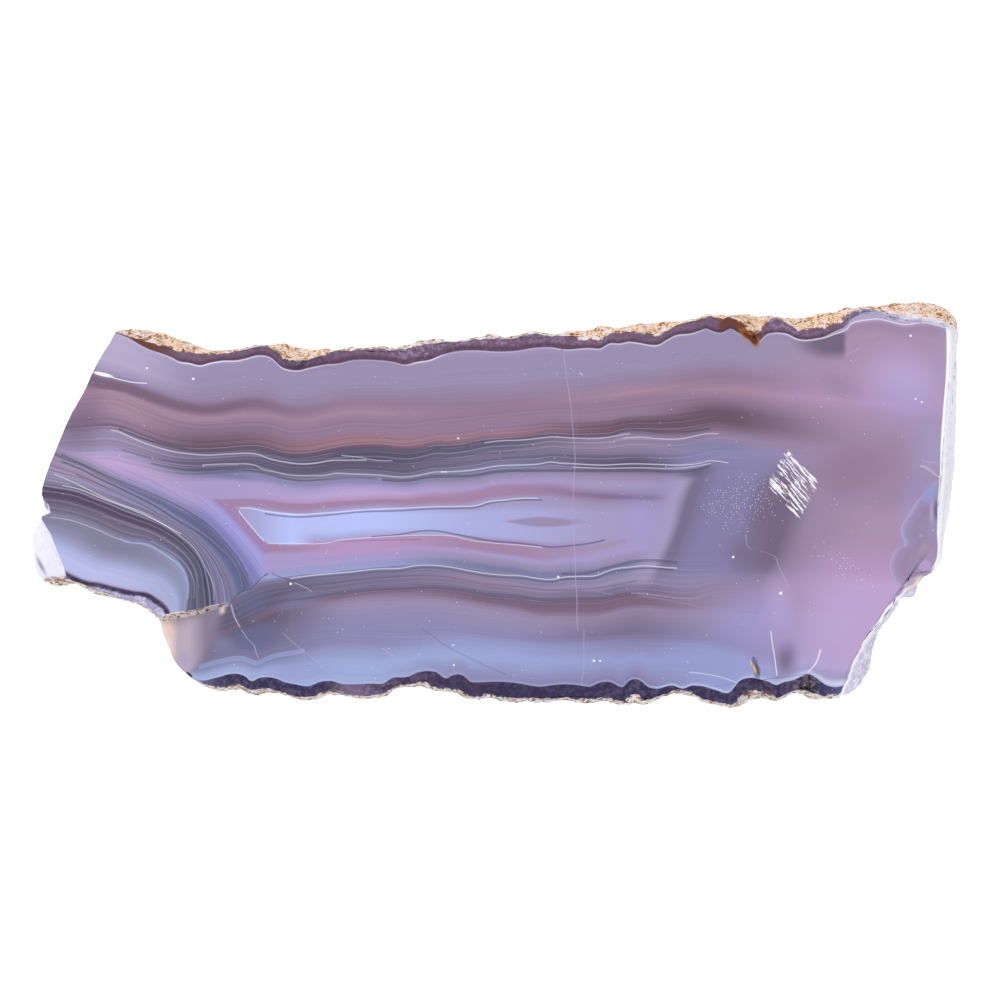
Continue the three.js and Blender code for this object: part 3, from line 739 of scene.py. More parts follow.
lobe_seam = plot(along_axis, turned(top_lobe_seam), out_axis)
low_seam = plot(width_axis, low_lobe_seam, height_axis)
heart = plot(width_axis, heart_line, height_axis)
below_seam = calc("SUBTRACT", lobe_seam, out)
above_seam = calc("SUBTRACT", up, low_seam)
in_lobe = calc("MULTIPLY", ease(below_seam, -SEAM_SOFT, SEAM_SOFT), ease(above_seam, -SEAM_SOFT, SEAM_SOFT))
heart_soft = ease(across, 31.2, 48.8, 0.4, 5.0)
in_low = ease(calc("SUBTRACT", heart, up), calc("MULTIPLY", heart_soft, -1.0), heart_soft)
banding = mix(in_lobe, mix(in_low, top_colour, low_colour), lobe_colour)

# The right end, where the bands close on each other: they turn down across the slab and fade
# into one another, with a blue-grey column and a brown one, and a calm pinkish field beyond.


def upright(points):
    """A drawn line's points, for a line that is followed up the slab."""
    return [(y, x) for x, y in points]


close_inner_line = [
    (31.2, 10.3), (30.9, 5.5), (28.9, 0.7), (27.7, -4.1), (25.6, -8.9), (23.2, -13.7),
]
close_slate_line = [
    (38.4, 10.3), (34.7, 5.5), (32.5, 0.7), (30.9, -4.1), (28.8, -8.9), (26.4, -13.7),
]
close_brown_line = [
    (44.8, 10.3), (44.3, 3.9), (43.7, -2.5), (42.7, -6.5), (40.8, -11.3), (38.4, -15.3),
]
close_pink_line = [
    (50.7, 10.3), (51.7, 3.9), (52.3, -2.5), (51.2, -6.5), (48.8, -11.3), (47.2, -15.3),
]
closing = Front(height_axis, width_axis, [
    upright(points)
    for points in (close_inner_line, close_slate_line, close_brown_line, close_pink_line)
], 1.0)
closing_colour = layers(closing, [
    (0, "veil"), (0.2, "haze"), (0.5, "steel"), (0.85, "steel"), (1.2, "slate_blue"),
    (1.65, "slate_blue"), (1.9, "steel"), (2.1, "murk"), (2.3, "murk"), (2.7, "heather"),
    (3.0, "amethyst"),
])
between = calc("MULTIPLY", ease(top.bands, 3.6, 4.7), ease(low.bands, 2.7, 4.5))
right_of = ease(closing.inward(0), -4.6, -0.2)
left_of = ease(closing.inward(3), -2.5, 4.0, 1.0, 0.0)
closed = calc("MULTIPLY", between, calc("MULTIPLY", right_of, left_of))
banding = mix(closed, banding, closing_colour)

# Fine growth layering: every band is itself made of layers too thin to count, a little lighter or
# darker than each other. They run on for a long way, and show best in the dark bands.
LAYER_SCALE = 13.0
LAYER_SHADE = 1.05
LAYER_DRIFT = 0.0025
LOW_NUMBER = 10.0
LOBE_NUMBER = 20.0


def choose(share, first, second):
    """Two numbers mixed."""
    made = add("ShaderNodeMix", data_type="FLOAT")
    feed(made.inputs[0], share)
    feed(made.inputs[2], first)
    feed(made.inputs[3], second)
    return made.outputs[0]


def noise(where, scale, detail, roughness, dimensions="3D"):
    """A cloudy number about 0.5, in space or along a single number."""
    made = add("ShaderNodeTexNoise", noise_dimensions=dimensions)
    made.inputs["Scale"].default_value = scale
    made.inputs["Detail"].default_value = detail
    made.inputs["Roughness"].default_value = roughness
    feed(made.inputs["Vector" if dimensions == "3D" else "W"], where)
    return made.outputs["Fac"]


layer_number = choose(in_lobe, choose(in_low, top.bands, calc("ADD", low.bands, LOW_NUMBER)),
                      calc("ADD", lobe.bands, LOBE_NUMBER))
layering = noise(calc("MULTIPLY_ADD", across, LAYER_DRIFT, layer_number), LAYER_SCALE, 4.0, 0.75, "1D")
layer_axis = Axis(layer_number, 0.0, 30.0)
layer_reach = plot_share(layer_axis, [
    (0, 0.2), (1, 0.3), (2, 0.45), (2.7, 0.55), (3, 0.95), (4, 0.95), (4.5, 0.25), (5.5, 0.15),
    (7, 0.08), (8, 0.08), (10, 0.2), (12, 0.3), (13, 0.6), (14, 0.7), (14.6, 0.25), (16, 0.15),
    (17, 0.08), (19, 0.08), (20, 0.15), (20.9, 0.3), (21.2, 1.0), (24, 1.2), (25, 0.3), (26, 0.15),
    (30, 0.15),
], "VECTOR")
sharpness = ease(across, 28.0, 42.4, LAYER_SHADE, LAYER_SHADE * 0.12)
shade = calc("MULTIPLY_ADD", calc("MULTIPLY", calc("SUBTRACT", layering, 0.5), layer_reach), sharpness, 1.0)
shaded = add("ShaderNodeHueSaturation")
feed(shaded.inputs["Value"], shade)
feed(shaded.inputs["Color"], banding)
banding = shaded.outputs[0]
glints = calc("MULTIPLY", ease(layering, 0.56, 0.66, 0.0, 0.42), ease(layer_reach, 0.35, 0.9))
glints = calc("MULTIPLY", glints, ease(across, 28.0, 37.6, 1.0, 0.0))
banding = mix(glints, banding, tone("bloom"))

# Clouds in the stone that follow no band: soft spots, laid one over another.


def framed(centre, radii, turn):
    """The place seen from a frame of its own: its centre, half its length and width, its turn."""
    frame_of = add("ShaderNodeMapping", vector_type="TEXTURE")
    feed(frame_of.inputs["Vector"], place)
    frame_of.inputs["Location"].default_value = (centre[0] * MM, centre[1] * MM, 0.0)
    frame_of.inputs["Rotation"].default_value = (0.0, 0.0, radians(turn))
    frame_of.inputs["Scale"].default_value = (radii[0] * MM, radii[1] * MM, 1.0)
    return frame_of.outputs[0]


def spot_share(centre, radii, turn, edge):
    """How much of a soft spot lies at a point: its centre, half its length and width, its turn in
    degrees and how sharply it ends, from 0 for a wide fade to 1 for a hard edge."""
    ball = add("ShaderNodeTexGradient", gradient_type="SPHERICAL")
    feed(ball.inputs["Vector"], framed(centre, radii, turn))
    return ease(ball.outputs["Fac"], 0.0, 1.0 - edge)


def clouding(colour, name, spots):
    """Soft spots of a tone, each with how strong it is."""
    total = 0.0
    for strength, centre, radii, turn, edge in spots:
        total = calc("MULTIPLY_ADD", spot_share(centre, radii, turn, edge), strength, total)
    return mix(total, colour, tone(name))


for name, spots in (
    ("pale_lilac", [
        (0.9, (65.6, 20.2), (9.92, 7.04), -18, 0.0),
        (0.7, (54.4, -19.3), (9.92, 7.04), 60, 0.1),
        (0.6, (45.3, -16.2), (3.52, 6.72), 0, 0.1),
    ]),
    ("amethyst", [
        (0.8, (54.9, 19.1), (5.76, 3.20), -30, 0.0),
        (0.6, (54.5, -3.3), (7.04, 5.44), 20, 0.0),
    ]),
    ("mauve", [(0.8, (57.1, 5.5), (9.92, 6.08), 12, 0.0)]),
    ("murk", [
        (0.8, (43.8, -1.7), (4.80, 6.08), -30, 0.0),
        (0.5, (39.2, -7.3), (3.52, 4.16), -35, 0.0),
        (0.85, (46.5, -24.9), (2.72, 4.16), -8, 0.0),
        (0.5, (47.2, -0.1), (4.16, 3.20), -30, 0.0),
        (0.75, (-66.4, 13.2), (8.32, 5.76), 62, 0.0),
    ]),
    ("blue_grey", [(0.6, (41.1, 5.5), (7.04, 3.20), 6, 0.0)]),
    ("wisteria", [
        (0.55, (41.1, -18.5), (9.60, 8.32), 0, 0.0),
        (0.5, (23.2, -2.5), (5.44, 6.40), 0, 0.0),
        (0.3, (65.6, 15.9), (8.96, 6.40), 0, 0.0),
        (0.5, (67.2, -2.5), (4.16, 9.60), 0, 0.0),
    ]),
    ("veil", [
        (0.9, (70.9, 8.7), (7.36, 9.60), 0, 0.0),
        (0.8, (73.1, 23.1), (3.84, 11.20), 0, 0.1),
    ]),
    ("shade", [
        (0.7, (31.5, 5.0), (4.16, 1.28), 6, 0.0),
        (0.5, (-40.2, -19.1), (1.92, 1.60), 0, 0.0),
    ]),
    ("storm", [
        (0.9, (-38.3, -21.4), (5.76, 2.88), 4, 0.1),
        (0.6, (-38.9, -15.6), (4.16, 3.20), 30, 0.0),
        (0.5, (-41.5, 4.4), (7.36, 0.96), -6, 0.0),
    ]),
    ("dusk", [
        (0.9, (-43.7, -22.6), (2.88, 2.88), 0, 0.1),
        (0.7, (-31.2, -15.3), (7.04, 2.24), 14, 0.0),
        (0.6, (32.8, 9.5), (12.80, 1.44), -2, 0.0),
    ]),
    ("horizon", [
        (0.7, (-31.2, -26.8), (9.28, 2.24), 6, 0.1),
        (0.6, (4.0, -26.2), (14.40, 2.56), -2, 0.1),
    ]),
):
    banding = clouding(banding, name, spots)

# A glassy nick at the left end, and a dark patch under the rim at the right, cut off by a crack.
banding = mix(spot_share((-62.7, 20.8), (2.08, 0.38), -13, 0.5), banding, tone("glass"))
dark_patch = spot_share((54.2, 26.0), (7.36, 3.52), 3, 0.3)
dark_patch = calc("MULTIPLY", dark_patch, ease(across, 55.5, 56.5, 1.0, 0.0))
banding = mix(dark_patch, banding, tone("murk"))

# The blue heart runs on to the left into a point between the two legs of the rose band.


def along_width(places):
    """A colour that changes along the slab: (millimetres across, tone name)."""
    return by_number(width_axis.share, [(width_axis.part(x), name) for x, name in places])


heart_top = top.inward(6)
heart_low = low.inward(6)
in_heart = calc("MULTIPLY", ease(heart_top, 0.0, 0.25), ease(heart_low, 0.0, 0.25))
in_heart = calc("MULTIPLY", in_heart, ease(across, -32.5, -28.3, 1.0, 0.0))
leg = calc("MULTIPLY_ADD", up, -0.87, -42.0)
in_heart = calc("MULTIPLY", in_heart, ease(calc("SUBTRACT", across, leg), 0.0, 0.2))
heart_tip = along_width([(-41.5, "veil"), (-37.3, "frost"), (-32.8, "milk")])
banding = mix(in_heart, banding, heart_tip)

# The thin sharp lines between bands, each drawn as it runs and ending where it fades from sight.
# Past its ends a line turns off at once to a height that the stone doesn't reach.
LINE_OFF = 0.1
LINE_AWAY = -1.0


def stripes(colour, name, lines, axes=(width_axis, height_axis)):
    """Thin lines of one tone: each with its strength, half its width in millimetres, its points."""
    axis, height = axes
    total = 0.0
    for strength, half, points in lines:
        ends = sorted(points)
        places = [(x, height.part(y)) for x, y in ends]
        places = [(ends[0][0] - LINE_OFF, LINE_AWAY), *places, (ends[-1][0] + LINE_OFF, LINE_AWAY)]
        line = plot_share(axis, places, "AUTO", 2)
        here = calc("COMPARE", height.share, line, half / (height.high - height.low))
        total = calc("MULTIPLY_ADD", here, strength, total)
    return mix(total, colour, tone(name))


banding = stripes(banding, "shade", [
    (0.75, 0.2, [
        (-60.8, 12.4), (-58.4, 11.3), (-55.2, 10.2), (-52.0, 9.4), (-47.2, 8.6), (-44.0, 8.7),
        (-39.2, 9.0), (-37.6, 8.7), (-35.2, 8.1), (-32.8, 7.6), (-29.6, 7.8), (-26.4, 8.4),
        (-23.2, 8.7), (-20.0, 9.0), (-15.2, 8.6), (-10.4, 9.0), (-4.0, 9.5),
    ]),
    (0.75, 0.17, [
        (-4.8, 9.6), (-2.4, 10.0), (0.8, 10.3), (4.0, 10.6), (7.2, 11.0), (8.8, 11.1), (12.0, 11.0),
        (16.8, 11.0), (19.2, 11.3), (20.8, 11.8), (23.2, 11.8), (26.4, 11.6), (31.2, 11.7),
        (34.7, 12.2),
    ]),
    (0.6, 0.1, [
        (-60.0, 8.9), (-56.8, 7.9), (-53.6, 7.1), (-48.8, 6.6), (-40.8, 6.8), (-38.4, 6.8),
    ]),
    (0.6, 0.12, [
        (-55.2, 6.6), (-51.2, 5.8), (-47.2, 5.4), (-42.4, 5.6), (-38.4, 5.4), (-36.0, 4.9),
        (-33.6, 4.2), (-31.2, 3.8), (-28.0, 3.9), (-23.2, 4.3), (-18.4, 4.1),
    ]),
    (0.7, 0.22, [
        (-18.4, 4.0), (-14.4, 3.8), (-10.4, 4.4), (-4.0, 4.6), (0.8, 5.3), (7.2, 5.4), (16.8, 5.4),
        (23.2, 5.4), (31.2, 5.4), (34.7, 6.2),
    ]),
    (0.5, 0.12, [
        (-37.9, 7.6), (-35.2, 7.0), (-31.2, 6.1), (-26.4, 6.5), (-20.8, 6.7), (-15.2, 6.6),
        (-8.8, 7.4), (-2.4, 8.1), (4.0, 8.4),
    ]),
    (0.35, 0.14, [
        (-31.2, 5.4), (-26.4, 5.7), (-20.8, 5.8), (-15.2, 5.4), (-8.8, 6.2), (-2.4, 7.0),
        (7.2, 7.8), (16.8, 7.8), (24.8, 7.6),
    ]),
    (0.65, 0.12, [
        (-33.9, -12.4), (-31.2, -12.0), (-28.8, -11.7), (-25.6, -11.4), (-23.2, -11.2),
        (-18.4, -10.7), (-15.2, -10.6), (-12.8, -10.2), (-10.4, -10.1), (-7.2, -10.4),
        (-4.0, -11.0), (-0.8, -11.5), (1.6, -11.7), (4.0, -11.8), (7.2, -12.3), (8.8, -12.4),
        (11.2, -12.0), (16.0, -11.8), (17.6, -11.2), (19.2, -10.7), (21.6, -10.4), (24.0, -10.2),
        (28.9, -10.5),
    ]),
    (0.5, 0.25, [
        (-37.3, -16.4), (-33.6, -15.4), (-31.2, -15.1), (-28.8, -14.8), (-24.8, -14.2),
        (-20.0, -13.6), (-13.6, -13.4), (-10.4, -13.2), (-7.2, -13.4), (-4.0, -13.8), (-1.6, -14.3),
        (2.4, -14.6), (5.6, -15.0), (8.8, -15.3), (12.0, -15.2), (16.8, -15.1), (18.4, -14.9),
        (20.8, -14.4), (23.2, -14.2),
    ]),
    (0.35, 0.12, [
        (-31.2, -13.2), (-26.4, -12.6), (-20.0, -11.9), (-12.0, -11.4), (-7.2, -11.7),
        (-2.4, -12.6), (4.0, -13.2), (8.8, -13.7), (16.8, -13.3), (23.2, -12.1),
    ]),
    (0.8, 0.12, [
        (-42.4, -15.8), (-41.1, -14.3), (-40.3, -13.8), (-39.2, -13.5), (-38.3, -12.7),
        (-37.3, -11.7), (-36.0, -10.8),
    ]),
    (0.55, 0.22, [
        (10.4, -11.1), (14.4, -11.0), (17.6, -10.2), (20.0, -9.6), (23.2, -9.0), (26.4, -9.0),
        (29.6, -9.4),
    ]),
    (0.6, 0.1, [
        (-36.0, -10.8), (-34.4, -11.6), (-32.8, -12.1), (-31.2, -12.7), (-29.6, -13.5),
        (-29.0, -14.3),
    ]),
    (0.3, 0.12, [(-12.3, -19.4), (-10.4, -20.7), (-8.8, -22.0), (-4.0, -24.6), (1.9, -27.3)]),
])
banding = stripes(banding, "violet", [
    (0.7, 0.13, [
        (-37.3, -1.4), (-34.4, -1.8), (-31.2, -2.0), (-28.0, -1.8), (-24.8, -1.5), (-21.6, -1.2),
        (-15.2, -1.0), (-10.4, -0.7), (-5.6, -0.6), (-3.2, -0.5), (-0.8, 0.2), (1.6, 0.5),
        (4.0, 0.7), (8.0, 0.7),
    ]),
    (0.75, 0.14, [
        (-20.0, -5.2), (-16.0, -4.9), (-11.2, -4.2), (-8.8, -4.3), (-7.2, -4.6), (-4.0, -5.2),
        (-0.8, -5.8), (4.0, -6.2), (7.2, -6.6), (8.8, -6.8), (12.0, -6.6), (15.2, -6.2),
        (17.6, -5.7),
    ]),
    (0.35, 0.12, [(-26.4, -5.9), (-21.6, -5.8), (-18.4, -5.7), (-11.2, -5.6)]),
])
banding = stripes(banding, "haze", [
    (0.6, 0.08, [(-55.2, 7.4), (-52.0, 6.6), (-48.8, 6.2), (-40.8, 6.4)]),
    (0.35, 0.08, [(-37.9, 8.1), (-35.2, 7.6), (-31.2, 7.0), (-26.4, 7.4), (-20.8, 7.8)]),
    (0.75, 0.12, [
        (21.6, -14.2), (23.2, -14.2), (26.4, -14.6), (29.6, -15.0), (32.0, -15.0), (34.1, -14.3),
        (35.3, -13.7),
    ]),
    (0.35, 0.12, [(22.5, -14.5), (26.4, -15.1), (31.2, -16.0), (34.7, -16.7), (42.4, -17.4)]),
    (0.5, 0.08, [
        (-4.3, -7.6), (-1.8, -8.3), (0.8, -9.0), (3.2, -9.8), (5.6, -10.6), (8.0, -11.6),
        (10.4, -12.2), (13.6, -13.1), (16.8, -14.0), (19.0, -14.5),
    ]),
    (0.3, 0.1, [(0.8, 8.4), (7.2, 9.2), (16.8, 9.4), (24.8, 9.2), (32.8, 9.7)]),
    (0.35, 0.1, [(46.5, 25.8), (49.3, 22.8), (51.2, 20.7), (53.6, 18.8), (57.1, 17.0)]),
])
banding = stripes(banding, "white", [
    (0.45, 0.1, [
        (-61.9, 11.9), (-60.8, 11.8), (-58.4, 10.8), (-56.0, 9.8), (-53.6, 9.0), (-51.2, 8.4),
        (-48.8, 8.1), (-46.4, 7.9), (-42.4, 8.1), (-38.4, 8.1), (-36.0, 7.3), (-33.6, 6.8),
        (-31.2, 6.5), (-28.8, 6.6), (-26.4, 7.0), (-24.0, 7.1), (-20.0, 7.1),
    ]),
    (0.35, 0.08, [(-25.1, 7.9), (-22.1, 7.6), (-19.2, 7.1), (-16.0, 7.0)]),
    (0.42, 0.09, [
        (-2.1, 9.8), (0.8, 10.2), (4.0, 10.3), (7.2, 10.6), (8.8, 10.8), (12.8, 10.6), (16.8, 10.6),
        (18.4, 10.8), (20.0, 11.1), (21.9, 11.4),
    ]),
    (0.4, 0.08, [
        (20.3, 10.6), (23.2, 10.8), (26.4, 10.5), (29.6, 10.5), (32.0, 11.0), (33.6, 11.3),
        (36.0, 11.3),
    ]),
    (0.4, 0.09, [
        (-47.2, 6.3), (-42.4, 6.5), (-38.4, 6.3), (-37.3, 5.7), (-35.2, 5.2), (-32.8, 4.7),
        (-30.4, 4.6), (-27.2, 4.7), (-25.6, 5.0), (-23.2, 4.9), (-18.4, 4.7), (-15.2, 4.4),
        (-12.8, 4.6), (-11.2, 4.9), (-9.6, 5.2), (-7.2, 5.2),
    ]),
    (0.48, 0.09, [
        (-8.8, 5.2), (-4.8, 5.4), (-2.4, 5.7), (-0.8, 6.0), (0.8, 6.2), (4.0, 6.3), (7.2, 6.5),
        (8.8, 6.8), (10.4, 6.6), (12.8, 6.5), (16.8, 6.3), (21.6, 6.5), (26.4, 6.4), (29.6, 6.3),
        (32.8, 6.6), (34.4, 7.0), (37.6, 6.6),
    ]),
    (0.4, 0.08, [(12.0, 6.0), (16.8, 5.8), (23.2, 5.9), (27.2, 5.8), (31.2, 6.0), (34.7, 6.6)]),
    (0.6, 0.08, [
        (-41.5, -0.6), (-39.2, -0.6), (-37.3, -1.0), (-34.4, -1.4), (-31.2, -1.6), (-28.0, -1.4),
        (-24.8, -1.2), (-21.6, -0.9), (-18.4, -0.7), (-15.2, -0.6), (-10.4, -0.4), (-5.6, -0.3),
        (-3.2, -0.2), (-0.8, 0.5), (1.6, 0.7), (4.0, 1.0), (7.2, 1.0),
    ]),
    (0.7, 0.14, [(-41.3, -0.7), (-39.7, -2.7), (-38.1, -4.6), (-36.8, -6.0)]),
    (0.5, 0.08, [
        (-36.7, -6.2), (-32.8, -6.2), (-27.2, -6.2), (-24.8, -5.7), (-21.6, -5.4), (-18.4, -5.2),
        (-15.2, -5.0), (-10.4, -4.9), (-7.2, -5.0), (-4.0, -5.7), (-0.8, -6.1), (4.0, -6.5),
        (8.0, -6.9),
    ]),
    (0.5, 0.09, [
        (-33.1, -11.9), (-31.2, -11.6), (-28.8, -11.3), (-25.6, -11.0), (-23.2, -10.8),
        (-20.8, -10.5), (-18.4, -10.3), (-15.2, -10.2), (-12.8, -9.8), (-10.4, -9.7), (-7.2, -10.0),
        (-4.0, -10.6), (-0.8, -11.1), (1.6, -11.3), (4.0, -11.4), (7.2, -11.9), (8.8, -12.0),
        (11.2, -11.6), (13.6, -11.5), (16.0, -11.4), (17.6, -10.8), (19.2, -10.3), (21.6, -10.0),
        (24.0, -9.8), (26.4, -10.0), (29.3, -10.2),
    ]),
    (0.5, 0.08, [(30.9, -26.8), (32.8, -27.0), (35.2, -27.4), (37.3, -28.0), (39.2, -28.7)]),
    (0.8, 0.09, [
        (-63.5, 21.0), (-62.4, 20.7), (-60.8, 20.2), (-59.2, 19.8), (-57.6, 19.5), (-55.5, 19.4),
    ]),
    (0.5, 0.06, [(-32.8, -12.2), (-31.2, -12.9), (-29.6, -13.7), (-29.0, -14.3)]),
    (0.6, 0.07, [(67.7, 6.3), (69.3, 5.7), (70.5, 4.7), (71.5, 4.2)]),
    (0.25, 0.06, [(-1.0, 4.2), (-0.5, 3.7), (0.0, 3.1)]),
    (0.25, 0.06, [(0.6, 0.1), (1.4, -1.0), (2.2, -2.2)]),
    (0.6, 0.07, [(12.9, 21.4), (13.6, 21.0), (14.4, 20.5)]),
])
banding = stripes(banding, "pale_lilac", [
    (0.5, 0.08, [(-34.4, -20.2), (-31.2, -23.0), (-28.8, -24.9), (-26.9, -26.6), (-25.9, -27.4)]),
    (0.6, 0.08, [(-18.3, -22.8), (-16.3, -24.2), (-15.2, -25.2), (-13.9, -27.0)]),
    (0.5, 0.1, [(56.0, 23.6), (57.1, 24.4), (58.7, 25.2)]),
    (0.4, 0.15, [(-66.4, 8.2), (-63.2, 8.2), (-60.0, 8.2), (-57.3, 7.8)]),
])
banding = stripes(banding, "dusty_pink", [
    (0.35, 0.35, [
        (9.6, -7.2), (12.8, -7.3), (15.2, -7.0), (17.6, -6.6), (19.7, -6.0), (21.6, -5.7),
    ]),
    (0.6, 0.3, [
        (-62.4, 18.2), (-59.2, 17.2), (-56.8, 16.6), (-55.2, 15.8), (-52.8, 14.6), (-50.4, 13.7),
        (-47.2, 13.5), (-43.2, 13.5),
    ]),
])
banding = stripes(banding, "sky", [
    (0.5, 0.4, [
        (-47.9, -26.2), (-44.0, -25.1), (-40.8, -24.6), (-39.2, -25.0), (-38.1, -25.4),
        (-37.0, -24.9), (-35.2, -24.2), (-32.8, -23.8), (-29.9, -23.3),
    ]),
])

lobe_axes = (along_axis, out_axis)
banding = stripes(banding, "shade", [
    (0.7, 0.14, turned([
        (-69.6, 7.0), (-66.4, 5.7), (-63.2, 4.1), (-58.4, 1.8), (-55.2, 0.2), (-51.5, -2.1),
        (-46.3, -5.4), (-43.1, -8.4),
    ])),
    (0.6, 0.12, turned([
        (-67.2, 4.9), (-63.2, 3.1), (-58.4, 0.9), (-54.9, -0.9), (-51.2, -3.0), (-47.7, -5.8),
        (-45.1, -8.9), (-43.7, -11.8),
    ])),
    (0.6, 0.14, turned([
        (-69.6, 8.1), (-65.6, 6.2), (-63.2, 5.1), (-60.0, 3.7), (-55.2, 1.8), (-50.4, -0.4),
        (-48.0, -1.8), (-45.3, -3.8), (-43.1, -6.2), (-41.1, -8.7), (-39.5, -11.6),
    ])),
    (0.5, 0.12, turned([
        (-68.0, 3.3), (-64.0, 1.7), (-60.0, -0.2), (-56.8, -1.5), (-52.8, -3.6), (-49.6, -6.0),
        (-47.4, -9.0), (-46.3, -12.1),
    ])),
], lobe_axes)
banding = stripes(banding, "haze", [
    (0.5, 0.08, turned([
        (-68.0, 5.5), (-64.0, 3.8), (-59.2, 1.4), (-55.2, -0.3), (-51.7, -2.5), (-48.0, -5.4),
        (-45.3, -8.2), (-43.7, -10.8),
    ])),
    (0.4, 0.1, turned([
        (-63.2, -1.8), (-59.2, -2.8), (-55.2, -4.4), (-52.0, -6.2), (-49.6, -8.1), (-48.0, -10.5),
        (-47.4, -13.7),
    ])),
    (0.45, 0.08, turned([
        (-70.6, 7.6), (-67.7, 6.6), (-64.7, 5.4), (-58.4, 2.2), (-51.5, -1.7), (-46.3, -5.0),
        (-42.7, -8.2), (-41.0, -11.0), (-40.3, -13.7),
    ])),
    (0.35, 0.08, turned([(-66.4, 7.1), (-61.6, 5.0), (-56.8, 2.9), (-52.0, 0.7), (-48.0, -1.4)])),
], lobe_axes)
banding = stripes(banding, "white", [
    (0.45, 0.08, turned([
        (-70.6, 4.9), (-68.0, 3.8), (-65.3, 2.5), (-62.6, 1.1), (-59.9, 0.0), (-57.1, -1.0),
        (-54.9, -2.1), (-52.7, -3.4), (-50.7, -4.8), (-48.0, -7.2), (-46.3, -10.1), (-45.1, -12.9),
        (-45.0, -15.6),
    ])),
    (0.5, 0.08, turned([
        (-69.3, 3.1), (-66.4, 2.4), (-63.2, 1.1), (-60.0, -0.1), (-56.8, -1.4), (-53.6, -2.9),
        (-50.1, -4.8),
    ])),
    (0.3, 0.08, turned([
        (-71.2, -2.0), (-68.0, -2.5), (-65.3, -3.4), (-63.2, -4.2), (-60.8, -5.3), (-58.4, -6.0),
    ])),
], lobe_axes)
banding = stripes(banding, "sky", [
    (0.85, 0.16, turned([
        (-60.3, -5.4), (-58.4, -6.1), (-56.8, -6.2), (-55.2, -6.6), (-53.6, -7.5), (-52.0, -8.6),
        (-50.4, -9.8), (-49.5, -11.4), (-49.1, -13.4), (-49.3, -15.6),
    ])),
    (0.5, 0.1, turned([
        (-55.2, -5.8), (-52.8, -7.0), (-50.7, -8.4), (-49.1, -10.2), (-48.2, -12.4), (-48.2, -15.3),
    ])),
], lobe_axes)

# The purple lens in the heart of the slab.
lens_top = plot(width_axis, [
    (-0.2, -2.6), (2.4, -2.3), (4.0, -2.1), (7.2, -1.8), (10.4, -2.0), (12.8, -2.2), (16.8, -2.6),
], height_axis)
lens_low = plot(width_axis, [
    (-0.2, -2.6), (2.4, -3.1), (4.0, -3.4), (7.2, -3.8), (11.2, -3.6), (12.8, -3.4), (16.8, -2.8),
], height_axis)
in_lens = calc("MULTIPLY", ease(calc("SUBTRACT", lens_top, up), -0.05, 0.45),
               ease(calc("SUBTRACT", up, lens_low), -0.05, 0.45))
lens_fade = calc("MULTIPLY", ease(across, -0.2, 2.7), ease(across, 10.4, 16.1, 0.75, 0.0))
banding = mix(calc("MULTIPLY", in_lens, lens_fade), banding, tone("heather"))

# Cracks that run up the slab: healed ones, and two fresh ones that catch the light.
upright_axes = (height_axis, width_axis)
banding = stripes(banding, "pale_lilac", [
    (strength, half, upright(points)) for strength, half, points in (
        (0.5, 0.08, [
            (11.0, 24.4), (11.5, 19.9), (12.0, 16.7), (12.3, 13.5), (12.6, 10.3), (12.8, 7.1),
            (12.6, 3.9), (12.5, 0.7), (12.5, -2.5), (12.6, -5.7), (12.8, -8.9), (12.9, -12.1),
            (13.1, -15.3), (13.1, -18.5), (13.3, -20.4),
        ]),
        (0.45, 0.08, [(14.2, -19.8), (14.2, -23.3), (14.2, -25.7), (13.9, -28.1), (13.6, -30.3)]),
        (0.9, 0.12, [(-42.3, -15.8), (-41.6, -18.2), (-40.7, -19.8)]),
        (0.7, 0.08, [
            (-40.7, -19.8), (-39.7, -21.4), (-38.6, -22.5), (-38.1, -24.1), (-37.6, -24.9),
        ]),
        (0.45, 0.1, [(40.1, -4.6), (40.2, -5.7), (40.5, -6.8), (41.7, -7.3)]),
        (0.5, 0.1, [
            (41.9, -7.3), (43.3, -7.7), (44.8, -8.4), (45.3, -9.7), (46.2, -11.6), (47.0, -13.2),
        ]),
    )
], upright_axes)
banding = stripes(banding, "glass", [
    (strength, half, upright(points)) for strength, half, points in (
        (0.7, 0.08, [(44.1, -20.1), (44.4, -22.5), (44.6, -23.6), (45.1, -27.4)]),
        (0.55, 0.16, [
            (52.1, -23.0), (51.8, -24.2), (51.3, -25.4), (50.7, -26.2), (50.1, -26.8),
            (49.7, -28.1), (49.7, -29.4),
        ]),
    )
], upright_axes)

# The bruise: a knock left a patch of short white streaks, side by side.
BRUISE_CENTRE = (47.7, 3.3)
BRUISE_TURN = -48

streaks = noise(framed(BRUISE_CENTRE, (10.0, 1.0), BRUISE_TURN), 2.6, 2.5, 0.7)
streak_parts = add("ShaderNodeSeparateXYZ")
feed(streak_parts.inputs[0], framed(BRUISE_CENTRE, (1.0, 1.0), BRUISE_TURN))
streak_run = streak_parts.outputs[0]
streak_side = streak_parts.outputs[1]
bruised = ease(calc("ABSOLUTE", streak_side), 2.6, 3.8, 1.0, 0.0)
bruise_run = calc("ABSOLUTE", calc("MULTIPLY_ADD", streak_side, 0.35, streak_run))
bruised = calc("MULTIPLY", bruised, ease(bruise_run, 2.6, 5.0, 1.0, 0.0))
bruised = ease(calc("MULTIPLY", bruised, ease(streaks, 0.46, 0.58)), 0.35, 0.6, 0.0, 0.95)
banding = mix(bruised, banding, tone("glass"))

# Chips of light on the polish, and the frosting of tiny pits beside the bruise.
PITS_PER_MM = 2.3
PIT_SIZE = 0.2
PITS_EVERYWHERE = 0.012
PITS_IN_FROST = 0.85

